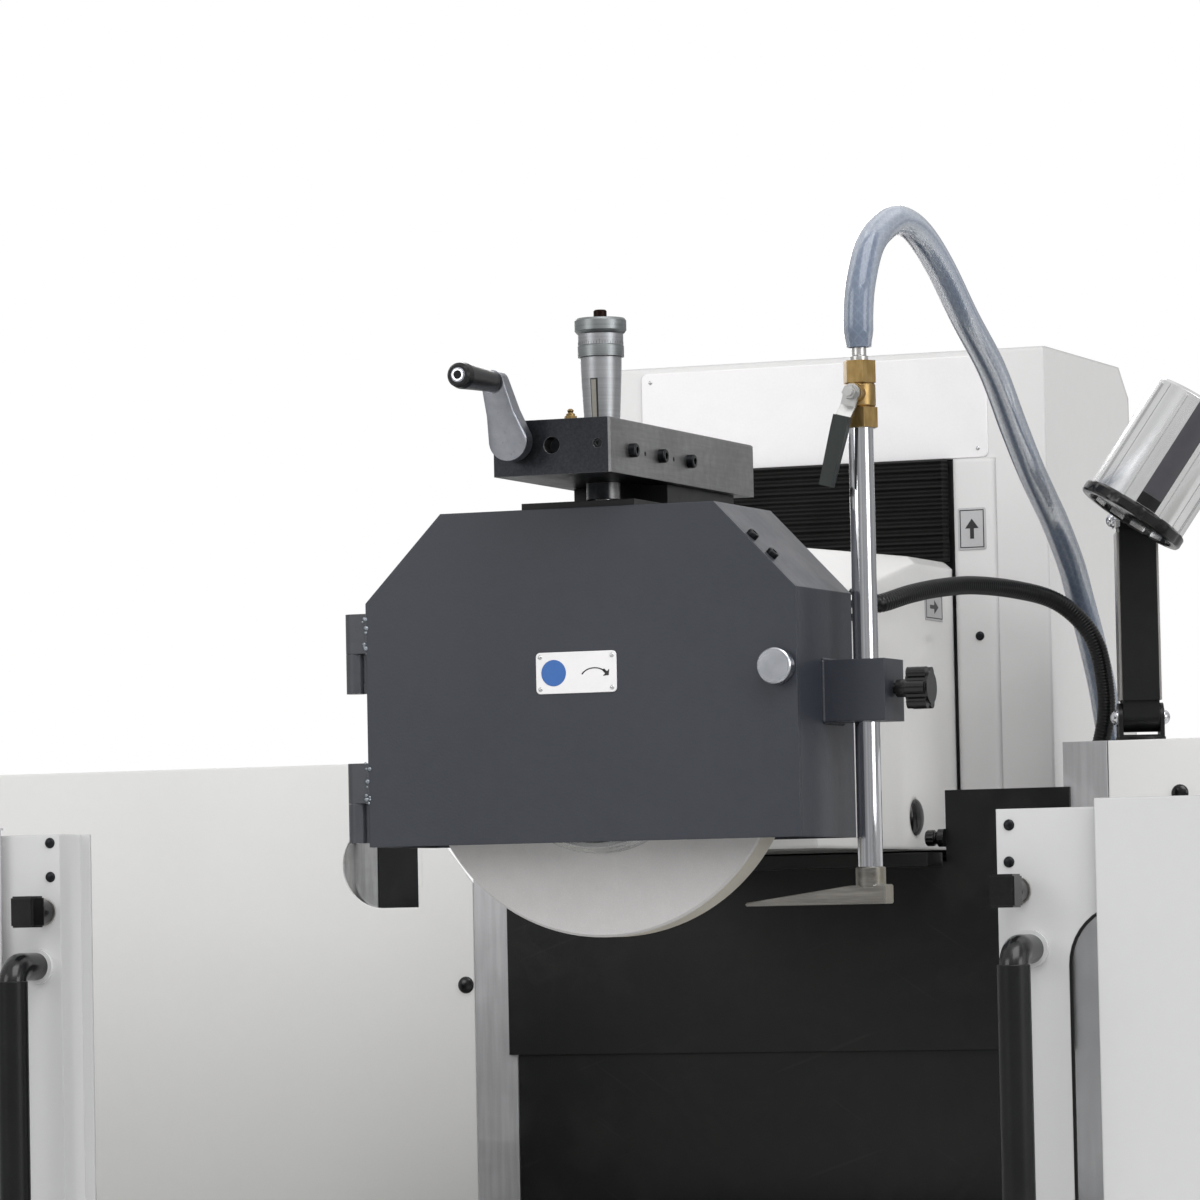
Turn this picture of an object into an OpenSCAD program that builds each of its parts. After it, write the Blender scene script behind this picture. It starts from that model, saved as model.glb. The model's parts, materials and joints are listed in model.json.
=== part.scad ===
// Floor-standing wet surface grinding machine: moving column, vertical head, horizontal spindle.
// Origin on the floor at the centre of the four anchor holes, +X right, +Y to the back, +Z up.

/* [Wheel and spindle] */
// Height of the wheel axis above the floor
axis_z = 1600; // [1590:1:1610]
// Diameter of the grinding wheel
wheel_d = 350; // [300:5:356]
// Thickness of the grinding wheel
wheel_t = 40; // [25:1:50]
// Bore of the grinding wheel
wheel_bore = 127; // [110:1:130]
// Distance of the wheel's middle plane in front of the origin
wheel_fwd = 280; // [275:1:285]
// Diameter of the wheel flanges
flange_d = 200; // [180:2:220]
// Thickness of each wheel flange
flange_t = 16; // [12:1:20]
// Diameter of the spindle in its bearings
spindle_d = 80; // [60:2:90]
// Outer diameter of the spindle bearings
bearing_d = 140; // [120:2:150]
// Outer diameter of the spindle housing
housing_d = 176; // [164:2:190]

/* [Wheel guard] */
// Width of the wheel guard
guard_w = 412; // [400:2:420]
// Height of the guard above the wheel axis
guard_up = 208; // [200:1:214]
// Depth of the guard below the wheel axis
guard_down = 90; // [80:1:96]
// Width of the cut corners
corner_w = 75; // [50:1:90]
// Height of the cut corners
corner_h = 78; // [50:1:90]
// Door front, ahead of the wheel's middle plane
guard_fore = 70; // [68:1:76]
// Guard back, behind the wheel's middle plane
guard_aft = 80; // [70:1:84]
// Sheet thickness of the guard
guard_wall = 4; // [3:0.5:6]
// Diameter of the hinge barrels
barrel_d = 18; // [14:1:20]
// Diameter of the door knob
knob_d = 32; // [24:1:36]

/* [Dresser] */
// Width of the dresser block
block_w = 111; // [100:1:120]
// Height of the dresser block
block_h = 49; // [44:1:56]
// Front of the block, ahead of the wheel's middle plane
block_fore = 124; // [110:1:130]
// Back of the block, behind the wheel's middle plane
block_aft = 245; // [200:1:250]
// Gap between the guard's plate and the block
block_gap = 20; // [16:1:26]
// Travel of the dresser to each side of its middle
dress_travel = 20; // [10:1:22]
// Diameter of the lead screw
screw_d = 12; // [10:1:14]
// Radius of the dresser crank
crank_r = 51.5; // [40:0.5:60]
// Length of the crank grip
grip_len = 78; // [60:1:90]
// Diameter of the diamond holder
holder_d = 17; // [12:1:20]

/* [Coolant] */
// Diameter of the coolant pipe
pipe_d = 22.5; // [18:0.5:26]
// Distance of the pipe from the wheel's middle, to the right
pipe_x = 238; // [234:1:242]
// Pipe, ahead or behind of the wheel's middle plane
pipe_aft = 24; // [20:1:28]
// Height of the nozzle's top below the wheel axis
nozzle_drop = 117; // [112:1:122]
// Height of the pipe's top above the wheel axis
pipe_up = 274; // [260:1:280]
// Length of the nozzle from the pipe's axis
nozzle_len = 115; // [100:1:120]
// Diameter of the ball valve's body
valve_d = 28; // [26:1:32]
// Diameter of the star knob
star_d = 41; // [36:1:46]

/* [Head and column] */
// Width of the head casing
head_w = 256; // [250:1:258]
// Height of the head casing's top above the wheel axis
head_up = 189; // [180:1:194]
// Depth of the head casing's bottom below the wheel axis
head_down = 97; // [92:1:98]
// Front of the head casing, ahead of the origin
head_fore = 83; // [78:1:88]
// Front of the column, behind the origin
column_y = 345; // [343:1:350]
// Width of the column
column_w = 455; // [450:1:470]
// Depth of the column
column_d = 295; // [280:1:300]
// Height of the column
column_top = 2000; // [1980:5:2020]
// Width of the column's front slot
slot_w = 260; // [259:1:264]
// Top of the column's front slot
slot_top = 1892; // [1880:1:1900]

/* [Bed and table] */
// Length of the cross bed
bed_l = 1700; // [1600:10:1800]
// Width of the cross bed
bed_w = 360; // [340:2:380]
// Height of the table's ways
way_z = 915; // [905:1:920]
// Length of the work table
table_l = 1000; // [900:10:1040]
// Width of the work table
table_w = 400; // [380:2:410]
// Height of the table's top
table_z = 1075; // [1065:1:1080]
// Height of the magnetic chuck
chuck_h = 80; // [60:1:84]
// Length of the magnetic chuck
chuck_l = 800; // [700:10:820]
// Middle of the table, ahead of the origin
table_fwd = 155; // [150:1:160]
// Spacing of the anchor holes along the machine's width
anchor_x = 690; // [680:2:700]
// Spacing of the anchor holes front to back
anchor_y = 740; // [730:2:750]
// Diameter of the anchor holes
anchor_d = 22; // [16:1:26]

/* [Enclosure] */
// Overall width of the enclosure
pan_w = 2040; // [2020:10:2100]
// Front plane of the enclosure, ahead of the origin
pan_fore = 480; // [476:1:490]
// Plane of the back panels, behind the origin
back_y = 185; // [183:1:188]
// Height of the enclosure's floor
pan_z = 860; // [850:1:870]
// Height of the front panels
front_top = 1534; // [1531:1:1540]
// Height of the back panels
back_top = 1602; // [1595:1:1610]
// Half width of the front opening between the fixed panels
mouth_half = 512; // [505:1:520]
// Width of each sliding door
door_w = 535; // [530:1:540]
// Height of the doors' top
door_top = 1527; // [1515:1:1529]
// Inner edge of the left door when open, left of the middle
left_open = 457; // [450:1:465]
// Inner edge of the right door when open, right of the middle
right_open = 423; // [415:1:430]
// Depth of the doors' folded edge
door_fold = 43; // [36:1:44]
// Half width of the black splash apron
apron_half = 292; // [286:1:296]
// Top of the apron
apron_top = 1559; // [1550:1:1562]
// Half width of the apron's notch round the head
notch_half = 167; // [160:1:175]

/* [Work lamp] */
// Distance of the lamp to the right of the middle
lamp_x = 354; // [350:1:360]
// Length of the lamp's arm between its pivots
lamp_arm_len = 190; // [170:1:200]
// Width of the lamp's square arm
lamp_arm_w = 35; // [30:1:38]
// Diameter of the lamp's head
lamp_d = 105; // [96:1:110]
// Length of the lamp's head
lamp_len = 130; // [120:1:150]
// Lean of the lamp's head to the right
lamp_lean = 34; // [20:1:40]
// Turn of the lamp's arm on its post
lamp_turn = 22; // [0:1:30]

/* [Hidden] */
$fn = 96;
run = 0.05;      // radial clearance of a shaft that turns in a bore
play = 0.3;      // clearance between sliding or parting faces
cut = 1;         // overshoot of a cut past a face
sheet = 3;       // thickness of the enclosure's sheet steel

wheel_y = -wheel_fwd;
wheel_r = wheel_d / 2;
wheel_front = wheel_y - wheel_t / 2;
wheel_rear = wheel_y + wheel_t / 2;

guard_top = axis_z + guard_up;
guard_bottom = axis_z - guard_down;
guard_front = wheel_y - guard_fore;
guard_back = wheel_y + guard_aft;
door_back = guard_front + guard_wall;
mouth_y = door_back + 0.5;
corner_l = norm([corner_w, corner_h]);
hinge_x = -guard_w / 2 - 14;
hinge_y = guard_front + barrel_d / 2;
hinge_pin_d = 8;
hinge_h = 72;
hinge_zs = [axis_z + 49, axis_z - 86];   // lower end of each hinge
knob_x = guard_w / 2 - 17;
knob_z = axis_z + 60;
latch_d = 10;

plate_t = 6;
plate_top = guard_top + plate_t;
block_z = plate_top + block_gap;
block_top = block_z + block_h;
block_front = wheel_y - block_fore;
block_back = wheel_y + block_aft;
quill_d = 31;
crank_x = -32;
crank_z = block_z + 30;
hole_z = block_z + 26;
tail_w = 44;     // narrow width of the dovetail
tail_h = 14;     // height of the dovetail
tail_top = 60;   // wide width of the dovetail
nut_w = 26;
nut_y = wheel_y + 145;
nut_len = 30;
grip_turn = 8;   // lean of the crank at rest, degrees

pipe_y = wheel_y + pipe_aft;
pipe_bottom = axis_z - nozzle_drop - 8;
pipe_top = axis_z + pipe_up;
bracket_w = 58;
bracket_z = axis_z + 12;
bracket_h = 55;
bracket_fore = 27;
bracket_aft = 26;
star_z = axis_z + 40.5;
star_x = guard_w / 2 + bracket_w;
valve_len = 60;
valve_z = pipe_top + valve_len / 2;
lever_lean = 15; // lean of the open valve's lever, degrees
hose_d = 27;

head_top = axis_z + head_up;
head_bottom = axis_z - head_down;
head_front = -head_fore;
head_back = column_y - 5;
crease_y = 223;
grommet_y = 207;
saddle_back = column_y + 135;
column_back = column_y + column_d;
column_foot = 790;
slot_bottom = 1150;
rail_w = 42;
rail_y = column_y + 15;
screw_y = column_y + 125;
lift_screw_d = 32;

bed_top = way_z - 25;
bed_y = -table_fwd;
stem_w = 600;
stem_back = column_back + 380;
stem_top = column_foot - 55;
foot_h = 60;
bed_corner = 30; // broken corners of the bed's casting
way_y = 130;     // the ways' distance from the table's middle
column_way_x = 215;

door_y = -pan_fore + 10;
door_bottom = 1010;
panel_gap = 330; // the back panels' distance from the middle
apron_y = back_y - 1;
apron_seam = 1309;
head_rise = 60;       // the head's travel up from where it stands
apron_drop = 144; // the apron's lower sheet below the seam
fixed_top = apron_seam - apron_drop + head_rise + 10;
notch_z = axis_z - 110;
lamp_y = back_y + 30;
lamp_foot_z = back_top + 22;
lamp_head_y = lamp_y - lamp_arm_w / 2 - 7 - lamp_d / 2;
lamp_head_z = lamp_foot_z + lamp_arm_len;
lamp_ear = 4;

// Routes of the coolant hose and of the motor's cable, from the head to the column's side
hose_route = [
  [238, -256, 1946.3], [238, -256, 1975], [239, -250, 2005], [242, -232, 2040], [247, -205, 2060],
  [252, -178, 2068], [258, -140, 2060], [263.7, -96, 2033.5], [269.2, -40, 1989.6], [271.4, 30, 1949],
  [269.4, 98, 1902.6], [268.9, 150, 1865.8], [269.6, 192, 1838], [271.6, 224, 1813.9],
  [275.6, 258, 1776.9], [277.2, 280, 1746.2], [280.7, 293, 1717.4], [284.8, 300, 1690.7],
  [289.7, 304, 1662.1], [293.9, 307, 1629.7], [298.1, 310, 1593.3], [302.9, 314, 1540.7],
  [303.4, 320, 1480.2], [300, 330, 1420], [287, 343, 1370], [272, 363, 1336], [262, 375, 1308],
  [262, 375, 1290.3]];
cable_route = [
  [142.3, 32, 1733], [152, 32, 1733], [159.3, 40, 1735.1], [174.7, 70, 1743.6], [191.6, 112, 1750.6],
  [209.4, 158, 1754.1], [233.7, 210, 1751.4], [260.6, 241, 1742.4], [283, 254, 1723.6],
  [299.3, 257, 1697.6], [306, 259, 1663.8], [307.1, 260, 1633.3], [301.9, 261, 1606],
  [292.8, 262, 1580.6], [281, 267, 1553.2], [271, 280, 1524], [261, 311, 1490], [255, 346, 1455],
  [252, 380, 1426], [252, 398, 1404], [252, 398, 1390.3]];
hose_port = [262, 375, 1260];
cable_port = [252, 398, 1368];
cable_d = 18;

// Helpers

module block(x, y, z) {
  translate([x[0], y[0], z[0]]) cube([x[1] - x[0], y[1] - y[0], z[1] - z[0]]);
}

module rod_x(y, z, r, x0, x1) {
  translate([x0, y, z]) rotate([0, 90, 0]) cylinder(r = r, h = x1 - x0);
}

module rod_y(x, z, r, y0, y1) {
  translate([x, y1, z]) rotate([90, 0, 0]) cylinder(r = r, h = y1 - y0);
}

module rod_z(x, y, r, z0, z1) {
  translate([x, y, z0]) cylinder(r = r, h = z1 - z0);
}

// A turned piece whose axis runs forward from (x, y, z); the outline is [radius, distance]
module turned_y(x, y, z, outline) {
  translate([x, y, z]) rotate([90, 0, 0]) rotate_extrude() polygon(outline);
}

module turned_z(x, y, z, outline) {
  translate([x, y, z]) rotate_extrude() polygon(outline);
}

// A flat outline in X and Z, as thick as y1 - y0
module along_y(y0, y1) {
  translate([0, y1, 0]) rotate([90, 0, 0]) linear_extrude(y1 - y0) children();
}

module along_x(x0, x1) {
  translate([x0, 0, 0]) rotate([90, 0, 90]) linear_extrude(x1 - x0) children();
}

// A tube swept along a route of points
function unit(v) = v / norm(v);
function heading(p, i) = unit(p[min(i + 1, len(p) - 1)] - p[max(i - 1, 0)]);
function side_of(t) = unit(cross(t, [1, -1, 0]));

module swept_tube(route, d, sides = 10) {
  points = [for (i = [0 : len(route) - 1], k = [0 : sides - 1])
    let (t = heading(route, i), a = side_of(t), b = cross(t, a), w = 360 * k / sides)
    route[i] + d / 2 * (cos(w) * a + sin(w) * b)];
  rings = len(route);
  walls = [for (i = [0 : rings - 2], k = [0 : sides - 1], half = [0, 1])
    let (n = (k + 1) % sides, p = i * sides)
    half == 0 ? [p + k, p + sides + k, p + n] : [p + n, p + sides + k, p + sides + n]];
  first = [for (k = [0 : sides - 1]) k];
  last = [for (k = [sides - 1 : -1 : 0]) (rings - 1) * sides + k];
  polyhedron(points, concat(walls, [first, last]));
}

// Wheel guard

module guard_outline(wall = 0, low = 0) {
  side = guard_w / 2 - wall;
  top = guard_top - wall;
  shoulder = guard_top - corner_h + wall * (corner_h - corner_l) / corner_w;
  flat = guard_w / 2 - corner_w + wall * (corner_w - corner_l) / corner_h;
  polygon([[-side, guard_bottom - low], [-side, shoulder], [-flat, top],
    [flat, top], [side, shoulder], [side, guard_bottom - low]]);
}

spigot_d = bearing_d + 16;
diamond_reach = dress_travel + quill_d / 2 + 3;

module diamond_slot(z0, z1) {
  block([-quill_d / 2 - 3, quill_d / 2 + 3], [wheel_y - diamond_reach, wheel_y + diamond_reach], [z0, z1]);
}

module guard_shell() {
  keeper = [guard_w / 2 - guard_wall - 7, guard_w / 2 - guard_wall];
  color("#4a4f55") {
    difference() {
      along_y(mouth_y, guard_back) guard_outline();
      along_y(mouth_y - cut, guard_back - guard_wall) guard_outline(guard_wall, cut);
      rod_y(0, axis_z, spigot_d / 2 + run, guard_back - guard_wall - cut, guard_back + cut);
      diamond_slot(guard_top - guard_wall - cut, guard_top + cut);
    }
    block(keeper, [mouth_y + 8, mouth_y + 12], [knob_z - 8, knob_z + 8]);
    block([keeper[1] - 2, keeper[1]], [mouth_y, mouth_y + 12], [knob_z - 8, knob_z + 8]);
  }
}

module guard_door() {
  rim = 14;
  color("#4a4f55") difference() {
    union() {
      along_y(guard_front, door_back) guard_outline();
      along_y(door_back, door_back + 8) difference() {
        guard_outline(guard_wall + 1.5, -rim);
        guard_outline(guard_wall + rim, 40 - cut);
      }
    }
    rod_y(knob_x, knob_z, latch_d / 2 + run, guard_front - cut, door_back + 8 + cut);
    block([knob_x - 16, guard_w / 2], [door_back, door_back + 8 + cut], [knob_z - 24, knob_z + 24]);
    block([-6, 6], [door_back, door_back + 8 + cut], [guard_bottom - cut, guard_bottom + rim + cut]);
  }
}

module hinge_fixed() {
  half = hinge_h / 2;
  leaf_y = mouth_y + 2;
  color("#43484d") for (z = hinge_zs) difference() {
    union() {
      rod_z(hinge_x, hinge_y, barrel_d / 2, z, z + half - play);
      block([hinge_x, -guard_w / 2], [leaf_y, leaf_y + 6], [z, z + half - play]);
    }
    rod_z(hinge_x, hinge_y, hinge_pin_d / 2, z - cut, z + half);
  }
}

module hinge_swing() {
  half = hinge_h / 2;
  color("#43484d") for (z = hinge_zs) difference() {
    union() {
      rod_z(hinge_x, hinge_y, barrel_d / 2, z + half, z + hinge_h);
      block([hinge_x, -guard_w / 2], [guard_front, door_back], [z + half, z + hinge_h]);
    }
    rod_z(hinge_x, hinge_y, hinge_pin_d / 2 + run, z + half - cut, z + hinge_h + cut);
  }
}

module hinge_pins() {
  color("#8d9093") for (z = hinge_zs) rod_z(hinge_x, hinge_y, hinge_pin_d / 2, z, z + hinge_h);
}

module door_knob() {
  r = knob_d / 2;
  thick = 14;
  cam_y = mouth_y + 14;
  color("#c9cbcd") {
    turned_y(knob_x, guard_front - play, knob_z, [[0, 0], [r - 5, 0], [r - 5, 2], [r - 1.2, 2],
      [r, 3.2], [r, thick - 1.2], [r - 1.2, thick], [0, thick]]);
    rod_y(knob_x, knob_z, latch_d / 2, guard_front - play, cam_y + 5);
    block([knob_x - 5, knob_x + 5], [cam_y, cam_y + 4], [knob_z, knob_z + 11]);
  }
}

// Wheel, hub and spindle

module grinding_wheel() {
  bevel = 2;
  color("#d9d6c8") turned_y(0, wheel_rear, axis_z, [[wheel_bore / 2, 0], [wheel_r - bevel, 0],
    [wheel_r, bevel], [wheel_r, wheel_t - bevel], [wheel_r - bevel, wheel_t], [wheel_bore / 2, wheel_t]]);
}

hub_r = wheel_bore / 2 - run;
hub_len = wheel_t + 2 * flange_t;
taper_wide = 30;
taper_slim = 24;

module wheel_hub() {
  groove = 5;
  fit = play / 3;
  color("#8f9295") turned_y(0, wheel_rear + flange_t, axis_z, [[taper_wide + fit, 0], [flange_d / 2 - 3, 0],
    [flange_d / 2, 3], [flange_d / 2, flange_t], [flange_d / 2 - 18, flange_t],
    [flange_d / 2 - 19, flange_t - 1], [hub_r, flange_t - 1], [hub_r, hub_len],
    [hub_r - 12, hub_len], [hub_r - 14, hub_len - groove], [taper_slim + fit, hub_len - groove]]);
}

module front_flange() {
  r = flange_d / 2;
  color("#96999c") difference() {
    turned_y(0, wheel_front, axis_z, [[hub_r + run, 1], [r - 19, 1], [r - 18, 0], [r, 0], [r, flange_t - 5],
      [r - 5, flange_t], [r - 10, flange_t], [r - 11, flange_t - 6], [r - 22, flange_t - 6],
      [r - 21, flange_t], [hub_r + run, flange_t]]);
    for (a = [0 : 60 : 300]) translate([0, 0, axis_z]) rotate([0, a, 0])
      rod_y(hub_r + 8, 0, 3.4, wheel_front - flange_t - cut, wheel_front + cut);
  }
}

module flange_screws() {
  color("#3a3c3e") for (a = [0 : 60 : 300]) translate([0, 0, axis_z]) rotate([0, a, 0]) difference() {
    union() {
      rod_y(hub_r + 8, 0, 3.4, wheel_front - flange_t, wheel_front - 1);
      rod_y(hub_r + 8, 0, 5.5, wheel_front - flange_t - 6, wheel_front - flange_t);
    }
    rod_y(hub_r + 8, 0, 2.6, wheel_front - flange_t - 6 - cut, wheel_front - flange_t - 2);
  }
}

nut_front = wheel_front - flange_t - 12;

module spindle_nut() {
  color("#55585b") difference() {
    rod_y(0, axis_z, 28, nut_front, nut_front + 16.5, $fn = 6);
    rod_y(0, axis_z, 15, nut_front - cut, nut_front + 20);
  }
}

module spindle() {
  back = -50;
  start = -(wheel_rear + flange_t) + back;    // distance from the rear end to the hub's back
  color("#b4b7ba") turned_y(0, back, axis_z, [[0, 0], [spindle_d / 2, 0], [spindle_d / 2, start - 14],
    [taper_wide + 6, start - 14], [taper_wide + 6, start - 1], [taper_wide, start],
    [taper_slim, start + hub_len - 5], [15, start + hub_len - 5], [15, start + hub_len + 14],
    [13, start + hub_len + 16], [0, start + hub_len + 16]]);
}

bearing_t = 30;
bearing_ys = [guard_back + 12, head_front - 5];

module spindle_bearings() {
  color("#a5a8ab") for (y = bearing_ys) difference() {
    rod_y(0, axis_z, bearing_d / 2 - run, y, y + bearing_t);
    rod_y(0, axis_z, spindle_d / 2 + run, y - cut, y + bearing_t + cut);
  }
}

module spindle_housing() {
  mouth = 8;                                   // spigot that carries the guard
  rear = head_front + 60;
  length = rear - guard_back;
  r = housing_d / 2;
  bore = bearing_d / 2;
  color("#3f4347") turned_y(0, rear, axis_z, [[0, 0], [r, 0], [r, length - 30], [r + 10, length - 24],
    [r + 10, length], [spigot_d / 2, length], [spigot_d / 2, length + mouth],
    [spindle_d / 2 + 1, length + mouth], [spindle_d / 2 + 1, length + 2], [bore, length + 2],
    [bore, 25], [0, 25]]);
}

// Head

module head_section(y, bevel, t) {
  half = head_w / 2;
  translate([0, y + t, 0]) rotate([90, 0, 0]) linear_extrude(t) polygon([[-half, head_bottom],
    [-half, head_top - bevel * 0.92], [-half + bevel, head_top], [half - bevel, head_top],
    [half, head_top - bevel * 0.92], [half, head_bottom]]);
}

module head_casing() {
  color("#ecebe6") difference() {
    union() {
      hull() {
        head_section(head_front, 71, 1);
        head_section(crease_y, 8, 1);
      }
      head_section(crease_y + 1, 8, head_back - crease_y - 1);
    }
    rod_y(0, axis_z, housing_d / 2 + run, head_front - cut, head_front + 60);
    rod_x(grommet_y, head_bottom + 31, 17.5, head_w / 2 - 14, head_w / 2 + cut);
  }
  color("#26282a") {
    rod_x(32, axis_z + 133, 13, head_w / 2, head_w / 2 + 6);
    rod_x(32, axis_z + 133, 11, head_w / 2 + 5, head_w / 2 + 14);
  }
}

module head_saddle() {
  half = slot_w / 2 - rail_w - play;
  color("#5d6164") difference() {
    union() {
      block([-half, half], [head_back, saddle_back], [head_bottom + 6, head_top - 6]);
      block([-half - 26, half + 26], [rail_y + 35 + play, saddle_back - 45], [head_bottom + 6, head_top - 6]);
    }
    rod_z(0, screw_y - 30, lift_screw_d / 2 + play, head_bottom - cut, head_top + cut);
  }
}

// Dresser

module dresser_base() {
  nut_x = [crank_x - nut_w / 2, crank_x + nut_w / 2];
  rail_front = wheel_y + diamond_reach + 4;
  rail_rear = block_back - dress_travel - 8;
  tail_foot = tail_w / 2 - (2 - play) * (tail_top - tail_w) / 2 / (tail_h + play);
  color("#2b2d30") difference() {
    union() {
      difference() {
        block([-54, 54], [mouth_y + 1, rail_rear], [guard_top, plate_top]);
        diamond_slot(guard_top - cut, plate_top + cut);
      }
      block([-block_w / 2 + 10, block_w / 2 - 10], [rail_front, rail_rear], [plate_top, block_z - play]);
      along_y(rail_front, rail_rear) polygon([[-tail_foot, block_z - 2], [-tail_top / 2, block_z + tail_h],
        [tail_top / 2, block_z + tail_h], [tail_foot, block_z - 2]]);
      block(nut_x, [nut_y, nut_y + nut_len], [block_z - 3, crank_z + 11]);
    }
    rod_y(crank_x, crank_z, screw_d / 2 + run, nut_y - cut, nut_y + nut_len + cut);
  }
}

module dresser_block() {
  half = block_w / 2;
  nut_x = [crank_x - nut_w / 2 - 1, crank_x + nut_w / 2 + 1];
  nut_room = dress_travel + 1;
  screw_rear = nut_y + nut_len + dress_travel + 20;
  gap = 2 * play;
  color("#55595c") difference() {
    union() {
      along_y(block_front, block_back) polygon([[-half, block_z], [half, block_z],
        [half, block_top - 1.5], [half - 1.5, block_top], [-half + 1.5, block_top], [-half, block_top - 1.5]]);
      rod_z(0, wheel_y, quill_d / 2, plate_top + 5, block_z + cut);
    }
    along_y(wheel_y + quill_d / 2 + 3, block_back + cut) polygon([
      [-tail_w / 2 - gap, block_z - cut], [-tail_w / 2 - gap, block_z], [-tail_top / 2 - gap, block_z + tail_h + gap],
      [tail_top / 2 + gap, block_z + tail_h + gap], [tail_w / 2 + gap, block_z], [tail_w / 2 + gap, block_z - cut]]);
    block(nut_x, [nut_y - nut_room, nut_y + nut_len + nut_room], [block_z - cut, crank_z + 12]);
    rod_y(crank_x, crank_z, 8 + run, block_front - cut, nut_y - nut_room + cut);
    rod_y(crank_x, crank_z, screw_d / 2 + 1, nut_y, screw_rear);
    rod_y(0, hole_z, 7.5, block_front - cut, block_front + 16);
    rod_y(half - 12, hole_z, 4.2, block_front - cut, block_front + 4);
    for (i = [0 : 2]) rod_x(block_front + 50 + 73 * i, block_z + 22, 6, half - 5, half + cut);
    rod_z(0, wheel_y, holder_d / 2 + run, plate_top, block_top + cut);
    translate([half, block_front, (block_z + block_top) / 2]) rotate([0, 0, 45])
      cube([3, 3, block_h + 2 * cut], center = true);
  }
}

module gib_screws() {
  half = block_w / 2;
  color("#2e3133") {
    for (i = [0 : 2]) difference() {
      rod_x(block_front + 50 + 73 * i, block_z + 22, 6, half - 5, half - 2);
      rod_x(block_front + 50 + 73 * i, block_z + 22, 3, half - 4, half);
    }
    difference() {
      rod_y(half - 12, hole_z, 4.2, block_front + 1, block_front + 4);
      rod_y(half - 12, hole_z, 2, block_front, block_front + 3);
    }
  }
}

module oil_nipple() {
  color("#b08d4a") {
    translate([9, block_front + 24, block_top]) cylinder(r = 6, h = 4, $fn = 6);
    turned_z(9, block_front + 24, block_top + 4, [[0, 0], [4, 0], [4, 2], [2.2, 3], [3, 5], [1.5, 6.5], [0, 6.5]]);
  }
}

arm_y = block_front - 10;

module lead_screw() {
  color("#a9acaf") {
    rod_y(crank_x, crank_z, 8, block_front - 6, nut_y - dress_travel - 6);
    rod_y(crank_x, crank_z, screw_d / 2, nut_y - dress_travel - 6, nut_y + nut_len + dress_travel + 10);
    rod_y(crank_x, crank_z, 12, block_front - 10, block_front - play);
  }
}

module crank_place() {
  translate([crank_x, 0, crank_z]) rotate([0, -grip_turn, 0]) children();
}

module crank_arm() {
  pin_y = arm_y - 30;
  color("#b9bbbd") crank_place() {
    hull() {
      rod_y(0, 0, 18, arm_y - 14, arm_y, $fn = 32);
      rod_y(0, crank_r * 0.45, 13, arm_y - 22, arm_y - 6, $fn = 32);
    }
    hull() {
      rod_y(0, crank_r * 0.45, 13, arm_y - 22, arm_y - 6, $fn = 32);
      rod_y(0, crank_r, 10.5, pin_y, arm_y - 16, $fn = 32);
    }
    rod_y(0, crank_r, 5, pin_y - grip_len + 2, pin_y);
    rod_y(0, crank_r, 6.5, pin_y - grip_len, pin_y - grip_len + 2);
  }
}

module crank_grip() {
  r = 11.8;
  color("#1d1e20") crank_place() turned_y(0, arm_y - 30 - play, crank_r, [[5 + run, 0], [8.5, 0], [9.2, 4],
    [r - 1, grip_len * 0.6], [r, grip_len - 10], [r - 1, grip_len - 3], [r - 3, grip_len - play],
    [6.5 + play, grip_len - play], [6.5 + play, grip_len - 2 - 2 * play], [5 + run, grip_len - 2 - 2 * play]]);
}

sleeve_h = 65;
thimble_z = block_top + sleeve_h + play;

module micrometer_sleeve() {
  color("#a7aba8") difference() {
    turned_z(0, wheel_y, block_top, [[holder_d / 2 + run, 0], [19.5, 0], [19.5, 2], [16, 2.5], [18, 42], [18.6, 60],
      [18.6, sleeve_h], [holder_d / 2 + run, sleeve_h]]);
    translate([0, wheel_y, 0]) rotate([0, 0, -22])
      block([-2.75, 2.75], [-22, -14], [block_top + 3, block_top + 42]);
  }
}

feed_screw_d = 6;
feed_screw_len = 40;

module micrometer_thimble() {
  r = feed_screw_d / 2;
  color("#b4b8b4") turned_z(0, wheel_y, thimble_z, [[0, 6 - feed_screw_len], [r, 6 - feed_screw_len], [r, 6],
    [holder_d / 2 + 2, 6], [holder_d / 2 + 2, 0],
    [21, 0], [21, 10], [19.8, 11], [19.8, 20], [22, 22], [23.5, 24], [23.5, 33], [22, 35], [7, 35], [7, 36],
    [6, 36], [6, 42], [5, 43], [0, 43]]);
}

module diamond_holder() {
  tip = axis_z + wheel_r + 6;
  head = block_top + sleeve_h - 12 - tip;
  bore = feed_screw_d / 2 + run;
  color("#8b8e91") turned_z(0, wheel_y, tip, [[0, 0], [2, 3], [2.5, 6], [holder_d / 2 - 2, 9], [holder_d / 2, 12],
    [holder_d / 2, head], [bore, head], [bore, head - feed_screw_len + 2], [0, head - feed_screw_len + 2]]);
}

// Coolant supply

module pipe_bracket() {
  x = [guard_w / 2, guard_w / 2 + bracket_w];
  color("#474c51") difference() {
    block(x, [pipe_y - bracket_fore, pipe_y + bracket_aft], [bracket_z, bracket_z + bracket_h]);
    rod_z(pipe_x, pipe_y, pipe_d / 2 + run, bracket_z - cut, bracket_z + bracket_h + cut);
    rod_x(pipe_y, star_z, 5 + run, pipe_x, x[1] + cut);
  }
}

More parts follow.
